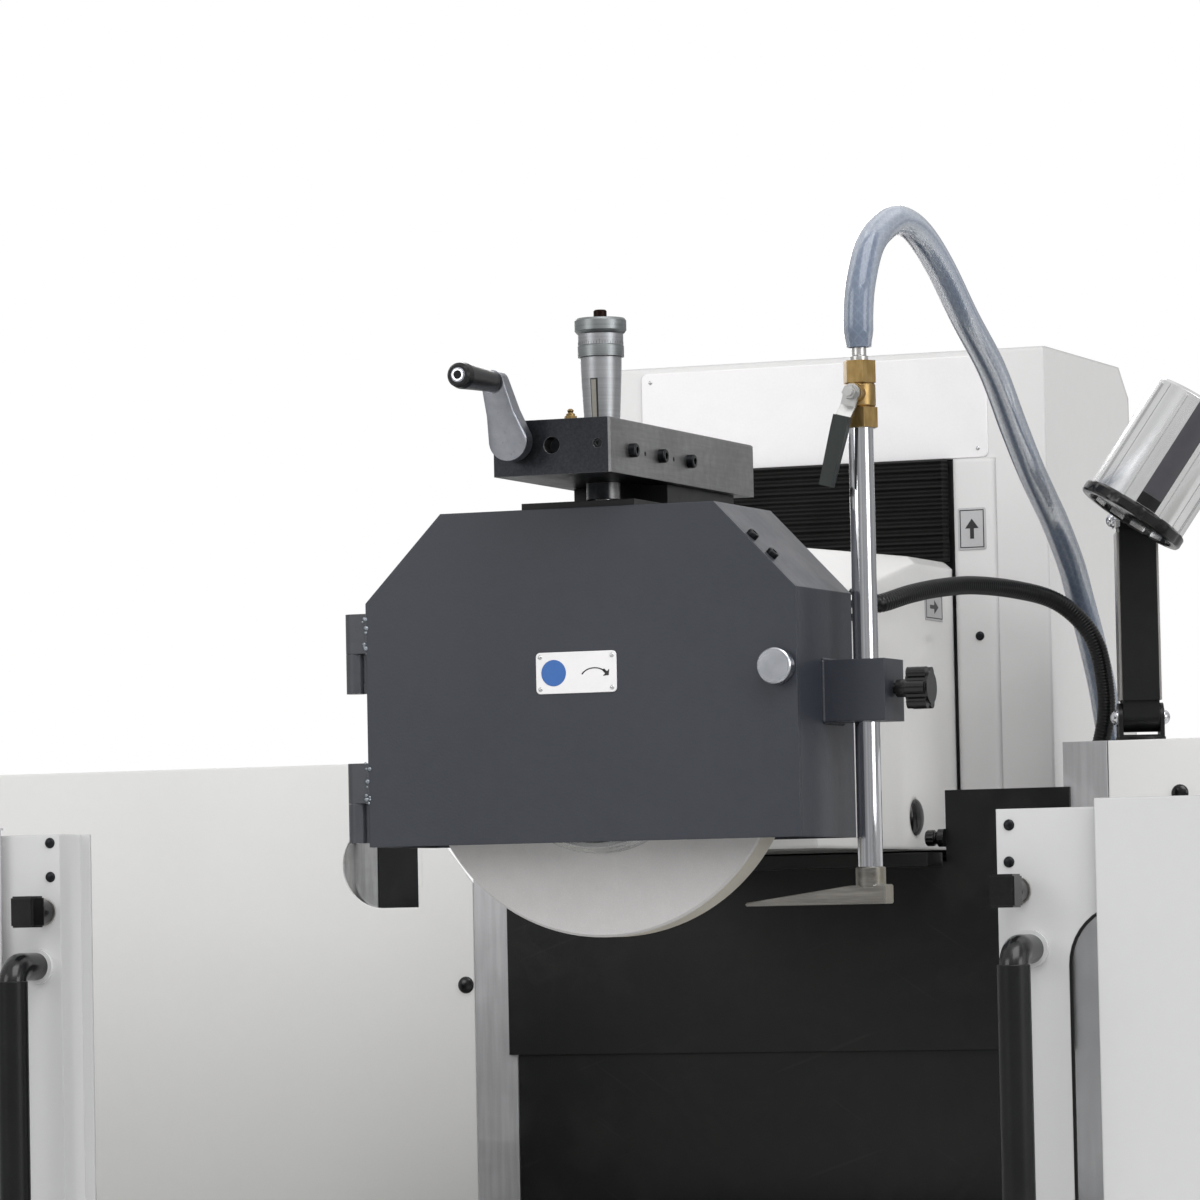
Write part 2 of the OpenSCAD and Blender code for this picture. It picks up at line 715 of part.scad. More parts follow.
module star_knob() {
  lobe = 6;
  count = 6;
  start = star_x + 15;
  color("#17181a") {
    rod_x(pipe_y, star_z, 5, pipe_x + pipe_d / 2 + play, star_x + 4);
    rod_x(pipe_y, star_z, 8, star_x + 3, start);
    rod_x(pipe_y, star_z, star_d / 2 - lobe, start - 1, start + 20);
    for (a = [0 : 360 / count : 359]) translate([0, pipe_y, star_z]) rotate([a, 0, 0])
      rod_x(star_d / 2 - lobe, 0, lobe, start, start + 18, $fn = 32);
  }
}

module coolant_pipe() {
  color("#d3d6d9") {
    difference() {
      rod_z(pipe_x, pipe_y, pipe_d / 2, pipe_bottom, pipe_top);
      rod_z(pipe_x, pipe_y, pipe_d / 2 - 2, pipe_bottom - cut, pipe_top + cut);
    }
  }
}

module coolant_nozzle() {
  top = axis_z - nozzle_drop;
  color("#b3b5b2") difference() {
    union() {
      rod_z(pipe_x, pipe_y, 13.5, top - 30, top);
      hull() {
        block([pipe_x - 6, pipe_x + 17], [pipe_y - 12, pipe_y + 12], [top - 33, top - 8]);
        block([pipe_x - nozzle_len, pipe_x - nozzle_len + 2], [pipe_y - 12, pipe_y + 12], [top - 33, top - 30]);
      }
    }
    rod_z(pipe_x, pipe_y, pipe_d / 2, pipe_bottom, top + cut);
  }
}

module ball_valve() {
  r = valve_d / 2;
  hex = r / cos(30);
  color("#b3873f") {
    difference() {
      union() {
        translate([pipe_x, pipe_y, pipe_top]) cylinder(r = hex, h = 18, $fn = 6);
        turned_z(pipe_x, pipe_y, pipe_top + 18, [[0, 0], [r - 1.5, 0], [r, 2], [r, 20], [r - 1.5, 22], [0, 22]]);
        translate([pipe_x, pipe_y, pipe_top + 40]) cylinder(r = hex - 1, h = 20, $fn = 6);
        rod_y(pipe_x, valve_z, 9, pipe_y - r - 8, pipe_y);
        turned_z(pipe_x, pipe_y, pipe_top + 60, [[0, 0], [8, 0], [8, 4], [6.5, 5], [6.5, 12], [0, 12]]);
      }
      rod_y(pipe_x, valve_z, 4 + run, pipe_y - r - 8 - cut, pipe_y - 4);
      rod_z(pipe_x, pipe_y, 5, pipe_top - cut, pipe_top + 14);
      rod_z(pipe_x, pipe_y, 4, pipe_top + 50, pipe_top + 72 + cut);
    }
  }
}

module valve_lever() {
  hub_y = pipe_y - valve_d / 2 - 8;
  color("#c3c5c7") {
    rod_y(pipe_x, valve_z, 4, hub_y - 12, pipe_y - 4 - play);
    rod_y(pipe_x, valve_z, 8, hub_y - 3 - play, hub_y - play);
    rod_y(pipe_x, valve_z, 6.5, hub_y - 10, hub_y - 3 - play, $fn = 6);
    translate([pipe_x, 0, valve_z]) rotate([0, lever_lean, 0]) {
      along_x(-7, 7) polygon([[hub_y - play, 5], [hub_y - 3 - play, 5], [hub_y - 3 - play, -12],
        [hub_y - 12, -25], [hub_y - 12, -40], [hub_y - 9, -40], [hub_y - 9, -24], [hub_y - play, -11]]);
      hull() {
        block([-7.5, 7.5], [hub_y - 15, hub_y - 6], [-34, -22]);
        block([-6, 6], [hub_y - 15, hub_y - 6], [-86, -80]);
      }
    }
  }
}

module coolant_hose() {
  color("#a9b8cc") swept_tube(hose_route, hose_d);
}

module motor_cable() {
  color("#1c1d1f") swept_tube(cable_route, cable_d);
}

// Column

module column() {
  half = column_w / 2 - 22;
  color("#8d9190") difference() {
    union() {
      block([-half, half], [rail_y + 35, column_back - 15], [column_foot, column_top - 60]);
      for (s = [-1, 1]) block([s * slot_w / 2 - rail_w * (s + 1) / 2, s * slot_w / 2 - rail_w * (s - 1) / 2],
        [rail_y, rail_y + 36], [slot_bottom - 30, slot_top + 20]);
      for (s = [-1, 1]) block([s * (slot_w / 2 + 20) - 40, s * (slot_w / 2 + 20) + 40], [rail_y + 2, rail_y + 36],
        [slot_bottom - 30, slot_top + 20]);
      block([-column_w / 2 - 30, column_w / 2 + 30], [column_y - 25, column_back + 40], [column_foot, column_foot + 70]);
      for (s = [-1, 1]) block([s * column_way_x - 45, s * column_way_x + 45],
        [column_y - 25, column_back + 40], [stem_top + 25 + play, column_foot]);
    }
    block([-slot_w / 2 + rail_w, slot_w / 2 - rail_w], [rail_y - cut, rail_y + 36], [slot_bottom - 10, slot_top + 40]);
    block([-slot_w / 2 - 2, slot_w / 2 + 2], [rail_y + 35, saddle_back + 20], [slot_bottom - 10, slot_top + 10]);
  }
}

cover_wall = 4;

// An elbow on the column's right side, its mouth facing up
module side_port(p, r, rise) {
  rod_x(p.y, p.z, r, column_w / 2, p.x + r * 0.8);
  rod_z(p.x, p.y, r, p.z, p.z + rise - play);
  rod_x(p.y, p.z, r + 5, column_w / 2, column_w / 2 + 6);
}

module column_cover() {
  half = column_w / 2;
  wall = cover_wall;
  side = [[column_y, column_foot + 70], [column_y, column_top], [column_back - 34, column_top],
    [column_back, column_top - 30], [column_back, column_foot + 70]];
  inside = [[column_y + wall, column_foot + 69], [column_y + wall, column_top - wall],
    [column_back - 34 - wall / 2, column_top - wall], [column_back - wall, column_top - 30 - wall / 2],
    [column_back - wall, column_foot + 69]];
  color("#ecebe6") {
    difference() {
      along_x(-half, half) polygon(side);
      along_x(-half + wall, half - wall) polygon(inside);
      block([-slot_w / 2, slot_w / 2], [column_y - cut, column_y + wall + cut], [slot_bottom, slot_top]);
    }
    side_port(hose_port, 16, 30);
    side_port(cable_port, 12, 22);
  }
}

module lift_screw() {
  color("#a2a5a8") {
    rod_z(0, screw_y - 30, lift_screw_d / 2, slot_bottom - 10, slot_top + 10);
  }
}

// A pleated cover, as one ribbed profile
module bellows(z0, z1, folds) {
  y_out = head_back - 8;
  y_in = y_out + 5;
  y_back = column_y + cover_wall;
  pitch = (z1 - z0) / folds;
  along_x(-head_w / 2 + 3, head_w / 2 - 3) polygon(concat([[y_back, z0], [y_in, z0]],
    [for (i = [0 : folds - 1], half = [0.5, 1]) [half == 0.5 ? y_out : y_in, z0 + pitch * (i + half)]],
    [[y_back, z1]]));
}

module upper_bellows() {
  color("#202123") bellows(head_top + play, slot_top, 16);
}

module lower_bellows() {
  color("#202123") bellows(slot_bottom, head_bottom - play, 24);
}

// Splash apron

module moving_apron() {
  ledge = [notch_z - 4, notch_z + 9];
  color("#1f2123") {
    along_y(apron_y - 4, apron_y) polygon([[-apron_half, apron_seam], [-apron_half, apron_top],
      [-notch_half, apron_top], [-notch_half, notch_z], [notch_half, notch_z], [notch_half, apron_top],
      [apron_half, apron_top], [apron_half, apron_seam]]);
    block([4 - notch_half, notch_half - 4], [apron_y - 50, apron_y - 4], ledge);
    block([8 - apron_half, apron_half - 8], [apron_y, apron_y + 3.7], [apron_seam - apron_drop, apron_seam + 20]);
  }
}

module fixed_apron() {
  guide = [apron_half - 7, panel_gap - 1];
  front = apron_y + play;
  color("#2a2c2e") {
    block([2 - panel_gap, panel_gap - 2], [front + 4, front + 7], [pan_z + 4, fixed_top]);
    for (s = [-1, 1]) block([min(s * guide[0], s * guide[1]), max(s * guide[0], s * guide[1])],
      [front, front + 4], [pan_z + 4, back_top]);
  }
}

// Bed, table and chuck

// The bed's outline from above, with broken corners; the stem carries the column
module bed_outline(grow = 0, stem = true) {
  x = bed_l / 2 + grow;
  y = [bed_y - bed_w / 2 - grow, bed_y + bed_w / 2 + grow];
  sx = stem_w / 2 + grow;
  back = stem_back + grow;
  c = bed_corner;
  neck = stem ? [[sx + c, y[1]], [sx, y[1] + c], [sx, back - c], [sx - c, back],
    [c - sx, back], [-sx, back - c], [-sx, y[1] + c], [-sx - c, y[1]]] : [];
  polygon(concat([[c - x, y[0]], [x - c, y[0]], [x, y[0] + c], [x, y[1] - c], [x - c, y[1]]],
    neck, [[c - x, y[1]], [-x, y[1] - c], [-x, y[0] + c]]));
}

module machine_bed() {
  wall = 40;
  y = [bed_y - bed_w / 2, bed_y + bed_w / 2];
  lug = 80;
  lug_h = 35;
  skirt = [14, 46]; // how far the skirt stands out, and its height
  color("#c9cac6") difference() {
    union() {
      translate([0, 0, foot_h]) linear_extrude(stem_top - foot_h) bed_outline();
      translate([0, 0, foot_h]) linear_extrude(skirt[1]) bed_outline(skirt[0]);
      translate([0, 0, stem_top]) linear_extrude(bed_top - stem_top) bed_outline(stem = false);
      for (s = [-1, 1]) {
        block([s * column_way_x - 40, s * column_way_x + 40], [y[1] + 60, stem_back - 20], [stem_top, stem_top + 25]);
        block([bed_corner - bed_l / 2, bed_l / 2 - bed_corner],
          [bed_y + s * way_y - 28, bed_y + s * way_y + 28], [bed_top, way_z]);
      }
      for (x = [-bed_l / 2 + 90, bed_l / 2 - 90], v = y) block([x - 60, x + 60],
        [v - (v > bed_y ? 80 : 0), v + (v > bed_y ? 0 : 80)], [0, foot_h]);
      for (x = [-1, 1]) block([x * 220 - 60, x * 220 + 60], [stem_back - 130, stem_back], [0, foot_h]);
      for (sx = [-1, 1]) {
        x = sx * anchor_x / 2;
        block([x - lug / 2, x + lug / 2], [-anchor_y / 2 - lug / 2, y[0] + wall], [0, lug_h]);
        block([x - 30, x + 30], [y[0] + 4, y[0] + wall], [0, foot_h + 1]);
        block([sx > 0 ? stem_w / 2 - wall : x - lug / 2, sx > 0 ? x + lug / 2 : wall - stem_w / 2],
          [anchor_y / 2 - lug / 2, anchor_y / 2 + lug / 2], [0, lug_h]);
        block([sx > 0 ? stem_w / 2 - wall : -stem_w / 2, sx > 0 ? stem_w / 2 : wall - stem_w / 2],
          [anchor_y / 2 - lug / 2, anchor_y / 2 + lug / 2], [0, foot_h + 1]);
      }
    }
    block([wall - bed_l / 2, bed_l / 2 - wall], [y[0] + wall, y[1] - wall], [foot_h - cut, bed_top - 60]);
    block([wall - stem_w / 2, stem_w / 2 - wall], [y[1], stem_back - wall], [foot_h - cut, stem_top - 60]);
    for (sx = [-1, 1], sy = [-1, 1]) rod_z(sx * anchor_x / 2, sy * anchor_y / 2, anchor_d / 2, -cut, lug_h + 1);
  }
}

tee_w = 14;

module work_table() {
  half = table_w / 2;
  low = way_z + play;
  color("#9a9d9c") difference() {
    union() {
      along_x(-table_l / 2, table_l / 2) translate([bed_y, 0]) polygon([[-way_y - 40, low], [way_y + 40, low],
        [way_y + 40, table_z - 70], [half, table_z - 55], [half, table_z], [-half, table_z],
        [-half, table_z - 55], [-way_y - 40, table_z - 70]]);
    }
    block([-table_l / 2 - cut, table_l / 2 + cut], [bed_y - tee_w / 2, bed_y + tee_w / 2], [table_z - 16, table_z + cut]);
    block([-table_l / 2 - cut, table_l / 2 + cut], [bed_y - tee_w, bed_y + tee_w], [table_z - 28, table_z - 15]);
  }
}

module magnetic_chuck() {
  top = table_z + chuck_h;
  half = table_w / 2;
  color("#a6a9aa") {
    block([-chuck_l / 2, chuck_l / 2], [bed_y - half + 5, bed_y + half - 5], [table_z, top - 18]);
    block([-chuck_l / 2 + 2, chuck_l / 2 - 2], [bed_y - half + 7, bed_y + half - 7], [top - 18, top]);
    for (s = [-1, 1]) block([s * chuck_l / 2 - 18, s * chuck_l / 2 + 18],
      [bed_y - half + 40, bed_y + half - 40], [table_z, table_z + 14]);
  }
}

// Enclosure

half_pan = pan_w / 2;

module splash_pan() {
  y = [bed_y - bed_w / 2, bed_y + bed_w / 2];
  front = -pan_fore;
  color("#e4e3de") {
    difference() {
      block([-half_pan, half_pan], [front, back_y + sheet], [pan_z, pan_z + 4]);
      translate([0, 0, pan_z - cut]) linear_extrude(5) bed_outline(stem = false);
    }
    for (s = [-1, 1]) {
      x = s > 0 ? half_pan - sheet : -half_pan;
      along_x(x, x + sheet) polygon([[front + sheet, pan_z + 4], [front + sheet, front_top],
        [back_y + sheet, back_top], [back_y + sheet, pan_z + 4]]);
      for (x = [-bed_l / 2 + 300, bed_l / 2 - 300])
        block([x - 20, x + 20], s > 0 ? [y[1], back_y] : [front + sheet, y[0]], [pan_z - 30, pan_z]);
    }
    block([-half_pan, half_pan], [front - 14, front], [pan_z - 30, door_bottom - 8]);
    block([-half_pan + sheet, half_pan - sheet], [front, front + 4], [pan_z + 4, door_bottom - 8]);
    block([-half_pan + sheet, half_pan - sheet], [front + 4, door_y + 9], [door_bottom - 22, door_bottom - 8]);
  }
}

module back_panels() {
  z = pan_z + 4;
  left = -half_pan + sheet;
  notch_x = -389;
  notch_c = [-428, axis_z - 100];
  notch_r = 43;
  color("#ecebe6") {
    difference() {
      along_y(back_y, back_y + sheet) polygon([[left, z], [left, back_top], [-panel_gap, back_top],
        [-panel_gap, z]]);
      rod_y(notch_c[0], notch_c[1], notch_r, back_y - cut, back_y + sheet + cut);
      block([notch_c[0], notch_x], [back_y - cut, back_y + sheet + cut], [notch_c[1] - notch_r, back_top + cut]);
      block([notch_x - cut, -panel_gap + cut], [back_y - cut, back_y + sheet + cut], [axis_z - 84, back_top + cut]);
      along_y(back_y - cut, back_y + sheet + cut) polygon([[-359, axis_z - 83], [-panel_gap + cut, axis_z - 83],
        [-panel_gap + cut, axis_z - 122]]);
    }
    along_y(back_y, back_y + sheet) polygon([[panel_gap, z], [panel_gap, back_top], [-left, back_top], [-left, z]]);
    for (s = [-1, 1]) block(s > 0 ? [panel_gap, -left] : [left, notch_x - 90],
      [back_y + sheet, back_y + sheet + 12], [back_top - 3, back_top]);
  }
}

module front_panels() {
  color("#f0efeb") for (s = [-1, 1]) {
    edge = mouth_half;
    x = s > 0 ? [edge, half_pan] : [-half_pan, -edge];
    block(x, [-pan_fore, -pan_fore + 2], [door_bottom - 8, front_top]);
    block(s > 0 ? [edge, half_pan - sheet] : [sheet - half_pan, -edge], [-pan_fore + 2, -pan_fore + 7],
      [front_top - 2, front_top]);
    block(s > 0 ? [half_pan - sheet, half_pan] : [-half_pan, sheet - half_pan],
      [-pan_fore + 2, -pan_fore + sheet], [door_bottom - 8, front_top]);
  }
}

// A sliding door: face, folded inner edge with its lip, top fold and a window opening
module sliding_door(edge) {
  far = edge + door_w;
  color("#f0efeb") difference() {
    union() {
      block([edge, far], [door_y, door_y + 2], [door_bottom, door_top]);
      block([edge, edge + 2], [door_y + 2, door_y + door_fold], [door_bottom, door_top]);
      block([edge - 10, edge + 2], [door_y + door_fold - 2, door_y + door_fold], [door_bottom, door_top]);
      block([edge + 2, far], [door_y + 2, door_y + 14], [door_top - 2, door_top]);
      block([edge + 2, far], [door_y + 2, door_y + 14], [door_bottom, door_bottom + 2]);
      block([far - 2, far], [door_y + 2, door_y + 14], [door_bottom + 2, door_top - 2]);
      for (x = [edge + 40, far - 90])
        block([x, x + 50], [door_y + 2, door_y + 8], [door_bottom - 8 + play, door_bottom]);
    }
    window_hole(edge);
    rod_y(edge + 17, latch_z, latch_pin / 2 + run, door_y - cut, door_y + 3);
  }
}

latch_z = door_top - 69;
latch_pin = 10;
window_inset = 62;

module window_hole(edge) {
  r = 50;
  x = [edge + window_inset, edge + door_w - window_inset];
  z = [door_bottom + 60, door_top - 82];
  y = [door_y - cut, door_y + 3];
  block([x[0] + r, x[1] - r], y, z);
  block(x, y, [z[0] + r, z[1] - r]);
  for (a = [x[0] + r, x[1] - r], b = [z[0] + r, z[1] - r]) rod_y(a, b, r, y[0], y[1]);
}

module window_pane(edge) {
  x = [edge + window_inset - 12, edge + door_w - window_inset + 12];
  color("#3b4246") block(x, [door_y + 2, door_y + 7], [door_bottom + 48, door_top - 70]);
}

// Tubular pull: a straight grip whose bent ends meet the door in two rosettes
module door_handle(x) {
  out = 50;
  bend = 18;
  r = 12.5;
  z = [door_bottom + 140, door_top - 118];
  tube_y = door_y - out;
  color("#17181a") {
    rod_z(x, tube_y, r, z[0] + bend, z[1] - bend);
    for (top = [false, true]) {
      end = top ? z[1] : z[0];
      translate([x, tube_y + bend, top ? end - bend : end + bend]) rotate([90, 0, 90])
        rotate([0, 0, top ? 90 : 180]) rotate_extrude(angle = 90) translate([bend, 0]) circle(r = r);
      rod_y(x, end, r, tube_y + bend, door_y - 4);
      rod_y(x, end, 16, door_y - 4, door_y);
    }
  }
}

module door_latch(x) {
  color("#1a1b1d") {
    turned_y(x, door_y - play, latch_z, [[0, 0], [10, 0], [10, 8], [15.5, 9], [16, 12], [16, 30],
      [14.5, 34], [0, 34]]);
    block([x - 4, x + 4], [door_y - 42, door_y - 30], [latch_z - 16, latch_z + 16]);
    rod_y(x, latch_z, latch_pin / 2, door_y - 1, door_y + 10);
    block([x - 6, x + 6], [door_y + 8, door_y + 11], [latch_z - 6, latch_z + 20]);
  }
}

module mirrored() {
  mirror([1, 0, 0]) children();
}

module right_door() { sliding_door(right_open); }
module left_door() { mirrored() sliding_door(left_open); }
module right_window() { window_pane(right_open); }
module left_window() { mirrored() window_pane(left_open); }
module right_handle() { door_handle(right_open + 28); }
module left_handle() { mirrored() door_handle(left_open + 24); }
module right_latch() { door_latch(right_open + 17); }
module left_latch() { mirrored() door_latch(left_open + 17); }

// Work lamp

pivot_d = 10;
lamp_post_d = 24;

module on_post() {
  translate([lamp_x, lamp_y, 0]) rotate([0, 0, lamp_turn]) translate([-lamp_x, -lamp_y, 0]) children();
}

module lamp_pin(z) {
  reach = lamp_arm_w / 2 + lamp_ear + 2;
  rod_x(lamp_y, z, pivot_d / 2, lamp_x - reach, lamp_x + reach);
}

module lamp_bracket() {
  half = lamp_arm_w / 2;
  seat = back_top + play;
  color("#9a9c9e") on_post() {
    rod_z(lamp_x, lamp_y, lamp_post_d / 2, back_top - 38, seat + 1);
    rod_z(lamp_x, lamp_y, 24, seat, seat + 3);
    block([lamp_x - half - lamp_ear, lamp_x + half + lamp_ear], [lamp_y - 14, lamp_y + 14], [seat + 2, seat + 5]);
    for (s = [-1, 1]) {
      x = lamp_x + s * (half + lamp_ear / 2 + play);
      block([x - lamp_ear / 2, x + lamp_ear / 2], [lamp_y - 14, lamp_y + 14], [seat + 2, lamp_foot_z]);
      rod_x(lamp_y, lamp_foot_z, 14, x - lamp_ear / 2, x + lamp_ear / 2);
    }
    lamp_pin(lamp_foot_z);
  }
}

module lamp_socket() {
  color("#2a2c2e") difference() {
    block([lamp_x - 20, lamp_x + 26], [back_y + sheet, lamp_y + 18], [back_top - 44, back_top - 3]);
    rod_z(lamp_x, lamp_y, lamp_post_d / 2 + run, back_top - 40, back_top);
  }
}

module lamp_arm() {
  half = lamp_arm_w / 2;
  side = [lamp_x - half, lamp_x + half];
  color("#1b1c1e") on_post() difference() {
    union() {
      block(side, [lamp_y - half, lamp_y + half], [lamp_foot_z + 16, lamp_head_z - 10]);
      for (z = [lamp_foot_z, lamp_head_z]) rod_x(lamp_y, z, 14, side[0], side[1]);
      block(side, [lamp_y - 14, lamp_y + 14], [lamp_foot_z, lamp_foot_z + 17]);
      block(side, [lamp_y - 14, lamp_y + 14], [lamp_head_z - 11, lamp_head_z]);
    }
    for (z = [lamp_foot_z, lamp_head_z])
      rod_x(lamp_y, z, pivot_d / 2 + run, side[0] - cut, side[1] + cut);
  }
}

module lamp_place() {
  translate([lamp_x - 13.5, lamp_head_y, lamp_head_z - 5.5]) rotate([0, lamp_lean, 0]) children();
}

module lamp_head() {
  half = lamp_arm_w / 2;
  r = lamp_d / 2;
  color("#b9bcbe") on_post() {
    lamp_place() {
      rotate_extrude() polygon([[r - 8, 2], [r, 2], [r, 10], [r - 2, 12], [r - 2, lamp_len - 3],
        [r - 5, lamp_len], [0, lamp_len], [0, lamp_len - 8], [r - 8, lamp_len - 8]]);
      for (a = [27, 66, 114, 153, 207, 246, 294, 333])
        rotate([0, 0, a]) translate([r - 4, -1.5, 8]) cube([3.4, 3, lamp_len - 14]);
    }
    for (s = [-1, 1]) {
      x = lamp_x + s * (half + lamp_ear / 2 + play);
      block([x - lamp_ear / 2, x + lamp_ear / 2], [lamp_head_y + r - 6, lamp_y + 8],
        [lamp_head_z - 8, lamp_head_z + 22]);
    }
    block([lamp_x - half - lamp_ear, lamp_x + half + lamp_ear], [lamp_head_y + r - 6, lamp_y - half - 2],
      [lamp_head_z + 16, lamp_head_z + 22]);
    lamp_pin(lamp_head_z);
  }
}

module lamp_lens() {
  r = lamp_d / 2;
  color("#dfe5ea", 0.5) on_post() lamp_place() translate([0, 0, 4]) cylinder(r = r - 8, h = 5);
}

guard_shell();
guard_door();
hinge_fixed();
hinge_pins();
hinge_swing();
door_knob();
grinding_wheel();
wheel_hub();
front_flange();
flange_screws();
spindle_nut();
spindle();
spindle_bearings();
spindle_housing();
head_casing();
head_saddle();
dresser_base();
dresser_block();
gib_screws();
oil_nipple();
lead_screw();
crank_arm();
crank_grip();
micrometer_sleeve();
micrometer_thimble();
diamond_holder();
pipe_bracket();
star_knob();
coolant_pipe();
coolant_nozzle();
ball_valve();
valve_lever();
coolant_hose();
motor_cable();
column();
column_cover();
lamp_socket();
lift_screw();
upper_bellows();
lower_bellows();
moving_apron();
fixed_apron();
machine_bed();
work_table();
magnetic_chuck();
splash_pan();
back_panels();
front_panels();
left_door();
right_door();
left_window();
right_window();
left_handle();
right_handle();
left_latch();
right_latch();
lamp_bracket();
lamp_arm();
lamp_head();
lamp_lens();
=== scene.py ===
import json
import math
import random

import bmesh
import bpy
from mathutils import Matrix, Vector

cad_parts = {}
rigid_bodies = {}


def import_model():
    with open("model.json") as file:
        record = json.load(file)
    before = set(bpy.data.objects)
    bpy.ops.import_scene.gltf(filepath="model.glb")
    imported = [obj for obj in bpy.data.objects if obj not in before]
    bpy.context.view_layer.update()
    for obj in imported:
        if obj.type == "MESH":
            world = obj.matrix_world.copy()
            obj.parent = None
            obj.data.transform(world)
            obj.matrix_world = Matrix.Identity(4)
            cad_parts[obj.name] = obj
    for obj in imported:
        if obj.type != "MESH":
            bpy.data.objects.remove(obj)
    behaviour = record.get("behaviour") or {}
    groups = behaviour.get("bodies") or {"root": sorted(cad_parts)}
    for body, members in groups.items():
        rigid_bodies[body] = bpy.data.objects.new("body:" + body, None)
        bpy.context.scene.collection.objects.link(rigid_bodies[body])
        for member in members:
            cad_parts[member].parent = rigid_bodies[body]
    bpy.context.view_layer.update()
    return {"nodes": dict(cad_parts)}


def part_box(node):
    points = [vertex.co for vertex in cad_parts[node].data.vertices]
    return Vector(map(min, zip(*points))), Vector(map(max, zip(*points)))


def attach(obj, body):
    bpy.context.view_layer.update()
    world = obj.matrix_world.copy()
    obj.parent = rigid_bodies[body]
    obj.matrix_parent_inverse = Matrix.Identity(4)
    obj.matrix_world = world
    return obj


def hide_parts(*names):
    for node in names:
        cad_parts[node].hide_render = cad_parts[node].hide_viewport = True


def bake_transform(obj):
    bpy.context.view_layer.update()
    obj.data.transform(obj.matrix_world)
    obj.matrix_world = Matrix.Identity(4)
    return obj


for leftover in list(bpy.data.objects):
    bpy.data.objects.remove(leftover)
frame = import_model()
nodes = frame["nodes"]
scene = bpy.context.scene
scene.view_settings.view_transform = "Standard"
random.seed(11)
print("loaded", len(nodes), "nodes")

# camera and light

camera = {"place": (1.8843, -5.1026, 1.4392), "turn": 21.4, "tilt": 3.2, "roll": 1.15, "lens": 172.5}


def placeCamera(c):
    turn, tilt, roll = (math.radians(c[k]) for k in ("turn", "tilt", "roll"))
    ahead = Vector((-math.sin(turn) * math.cos(tilt), math.cos(turn) * math.cos(tilt), math.sin(tilt)))
    right = Vector((math.cos(turn), math.sin(turn), 0))
    up = right.cross(ahead)
    right, up = math.cos(roll) * right - math.sin(roll) * up, math.sin(roll) * right + math.cos(roll) * up
    eye = bpy.data.objects.new("camera", bpy.data.cameras.new("camera"))
    scene.collection.objects.link(eye)
    eye.data.sensor_width, eye.data.lens = 36, c["lens"]
    eye.data.clip_start, eye.data.clip_end = 0.05, 200
    eye.matrix_world = Matrix.Translation(c["place"]) @ Matrix((right, up, -ahead)).transposed().to_4x4()
    scene.camera = eye


placeCamera(camera)

lamps = {
    "overhead": {"place": (1.8, -2.2, 5.2), "aim": (0, 0, 1.4), "size": 3.2, "power": 122},
    "front": {"place": (-3.0, -4.6, 3.4), "aim": (0, -0.1, 1.3), "size": 2.6, "power": 58},
    "right": {"place": (4.6, -1.6, 2.6), "aim": (0.1, 0, 1.5), "size": 2.2, "power": 50},
    "back": {"place": (-2.5, 4.6, 3.4), "aim": (0, 0.4, 1.2), "size": 2.6, "power": 85},
}


def placeLamps(settings):
    for name, l in settings.items():
        data = bpy.data.lights.new(name, "AREA")
        data.size, data.energy = l["size"], l["power"]
        lamp = bpy.data.objects.new(name, data)
        scene.collection.objects.link(lamp)
        lamp.location = l["place"]
        lamp.rotation_mode = "QUATERNION"
        lamp.rotation_quaternion = (Vector(l["aim"]) - Vector(l["place"])).to_track_quat("-Z", "Y")


placeLamps(lamps)

# node helpers


def addNode(tree, kind, **settings):
    node = tree.nodes.new(kind)
    for key, value in settings.items():
        setattr(node, key, value)
    return node


def feed(tree, source, target):
    tree.links.new(source, target)


def put(tree, target, value):  # a socket or a plain value into a socket
    if isinstance(value, bpy.types.NodeSocket):
        tree.links.new(value, target)
    else:
        target.default_value = value


def mathNode(tree, operation, a, b=0.0, clamp=False):
    node = addNode(tree, "ShaderNodeMath", operation=operation, use_clamp=clamp)
    put(tree, node.inputs[0], a)
    put(tree, node.inputs[1], b)
    return node.outputs[0]


def times(tree, a, b, clamp=False):
    return mathNode(tree, "MULTIPLY", a, b, clamp)


def vectorNode(tree, operation, a, b=(0, 0, 0), scale=None):
    node = addNode(tree, "ShaderNodeVectorMath", operation=operation)
    put(tree, node.inputs[0], a)
    if scale is None:
        put(tree, node.inputs[1], b)
    else:
        put(tree, node.inputs["Scale"], scale)
    return node.outputs["Value" if operation in ("LENGTH", "DOT_PRODUCT") else "Vector"]


def mixColour(tree, factor, a, b, blend="MIX"):
    node = addNode(tree, "ShaderNodeMix", data_type="RGBA", blend_type=blend, clamp_factor=True)
    for index, value in ((0, factor), (6, a), (7, b)):
        put(tree, node.inputs[index], value)
    return node.outputs[2]


def feedAll(tree, node, **values):
    for name, value in values.items():
        put(tree, node.inputs[name.replace("_", " ")], value)


def spread(tree, value, low, high, toLow=0.0, toHigh=1.0):
    node = addNode(tree, "ShaderNodeMapRange")
    feedAll(tree, node, Value=value, From_Min=low, From_Max=high, To_Min=toLow, To_Max=toHigh)
    return node.outputs["Result"]


def noiseNode(tree, vector, scale, detail=2.0, rough=0.5, warp=0.0):
    node = addNode(tree, "ShaderNodeTexNoise")
    feedAll(tree, node, Vector=vector, Scale=scale, Detail=detail, Roughness=rough, Distortion=warp)
    return node.outputs[0]


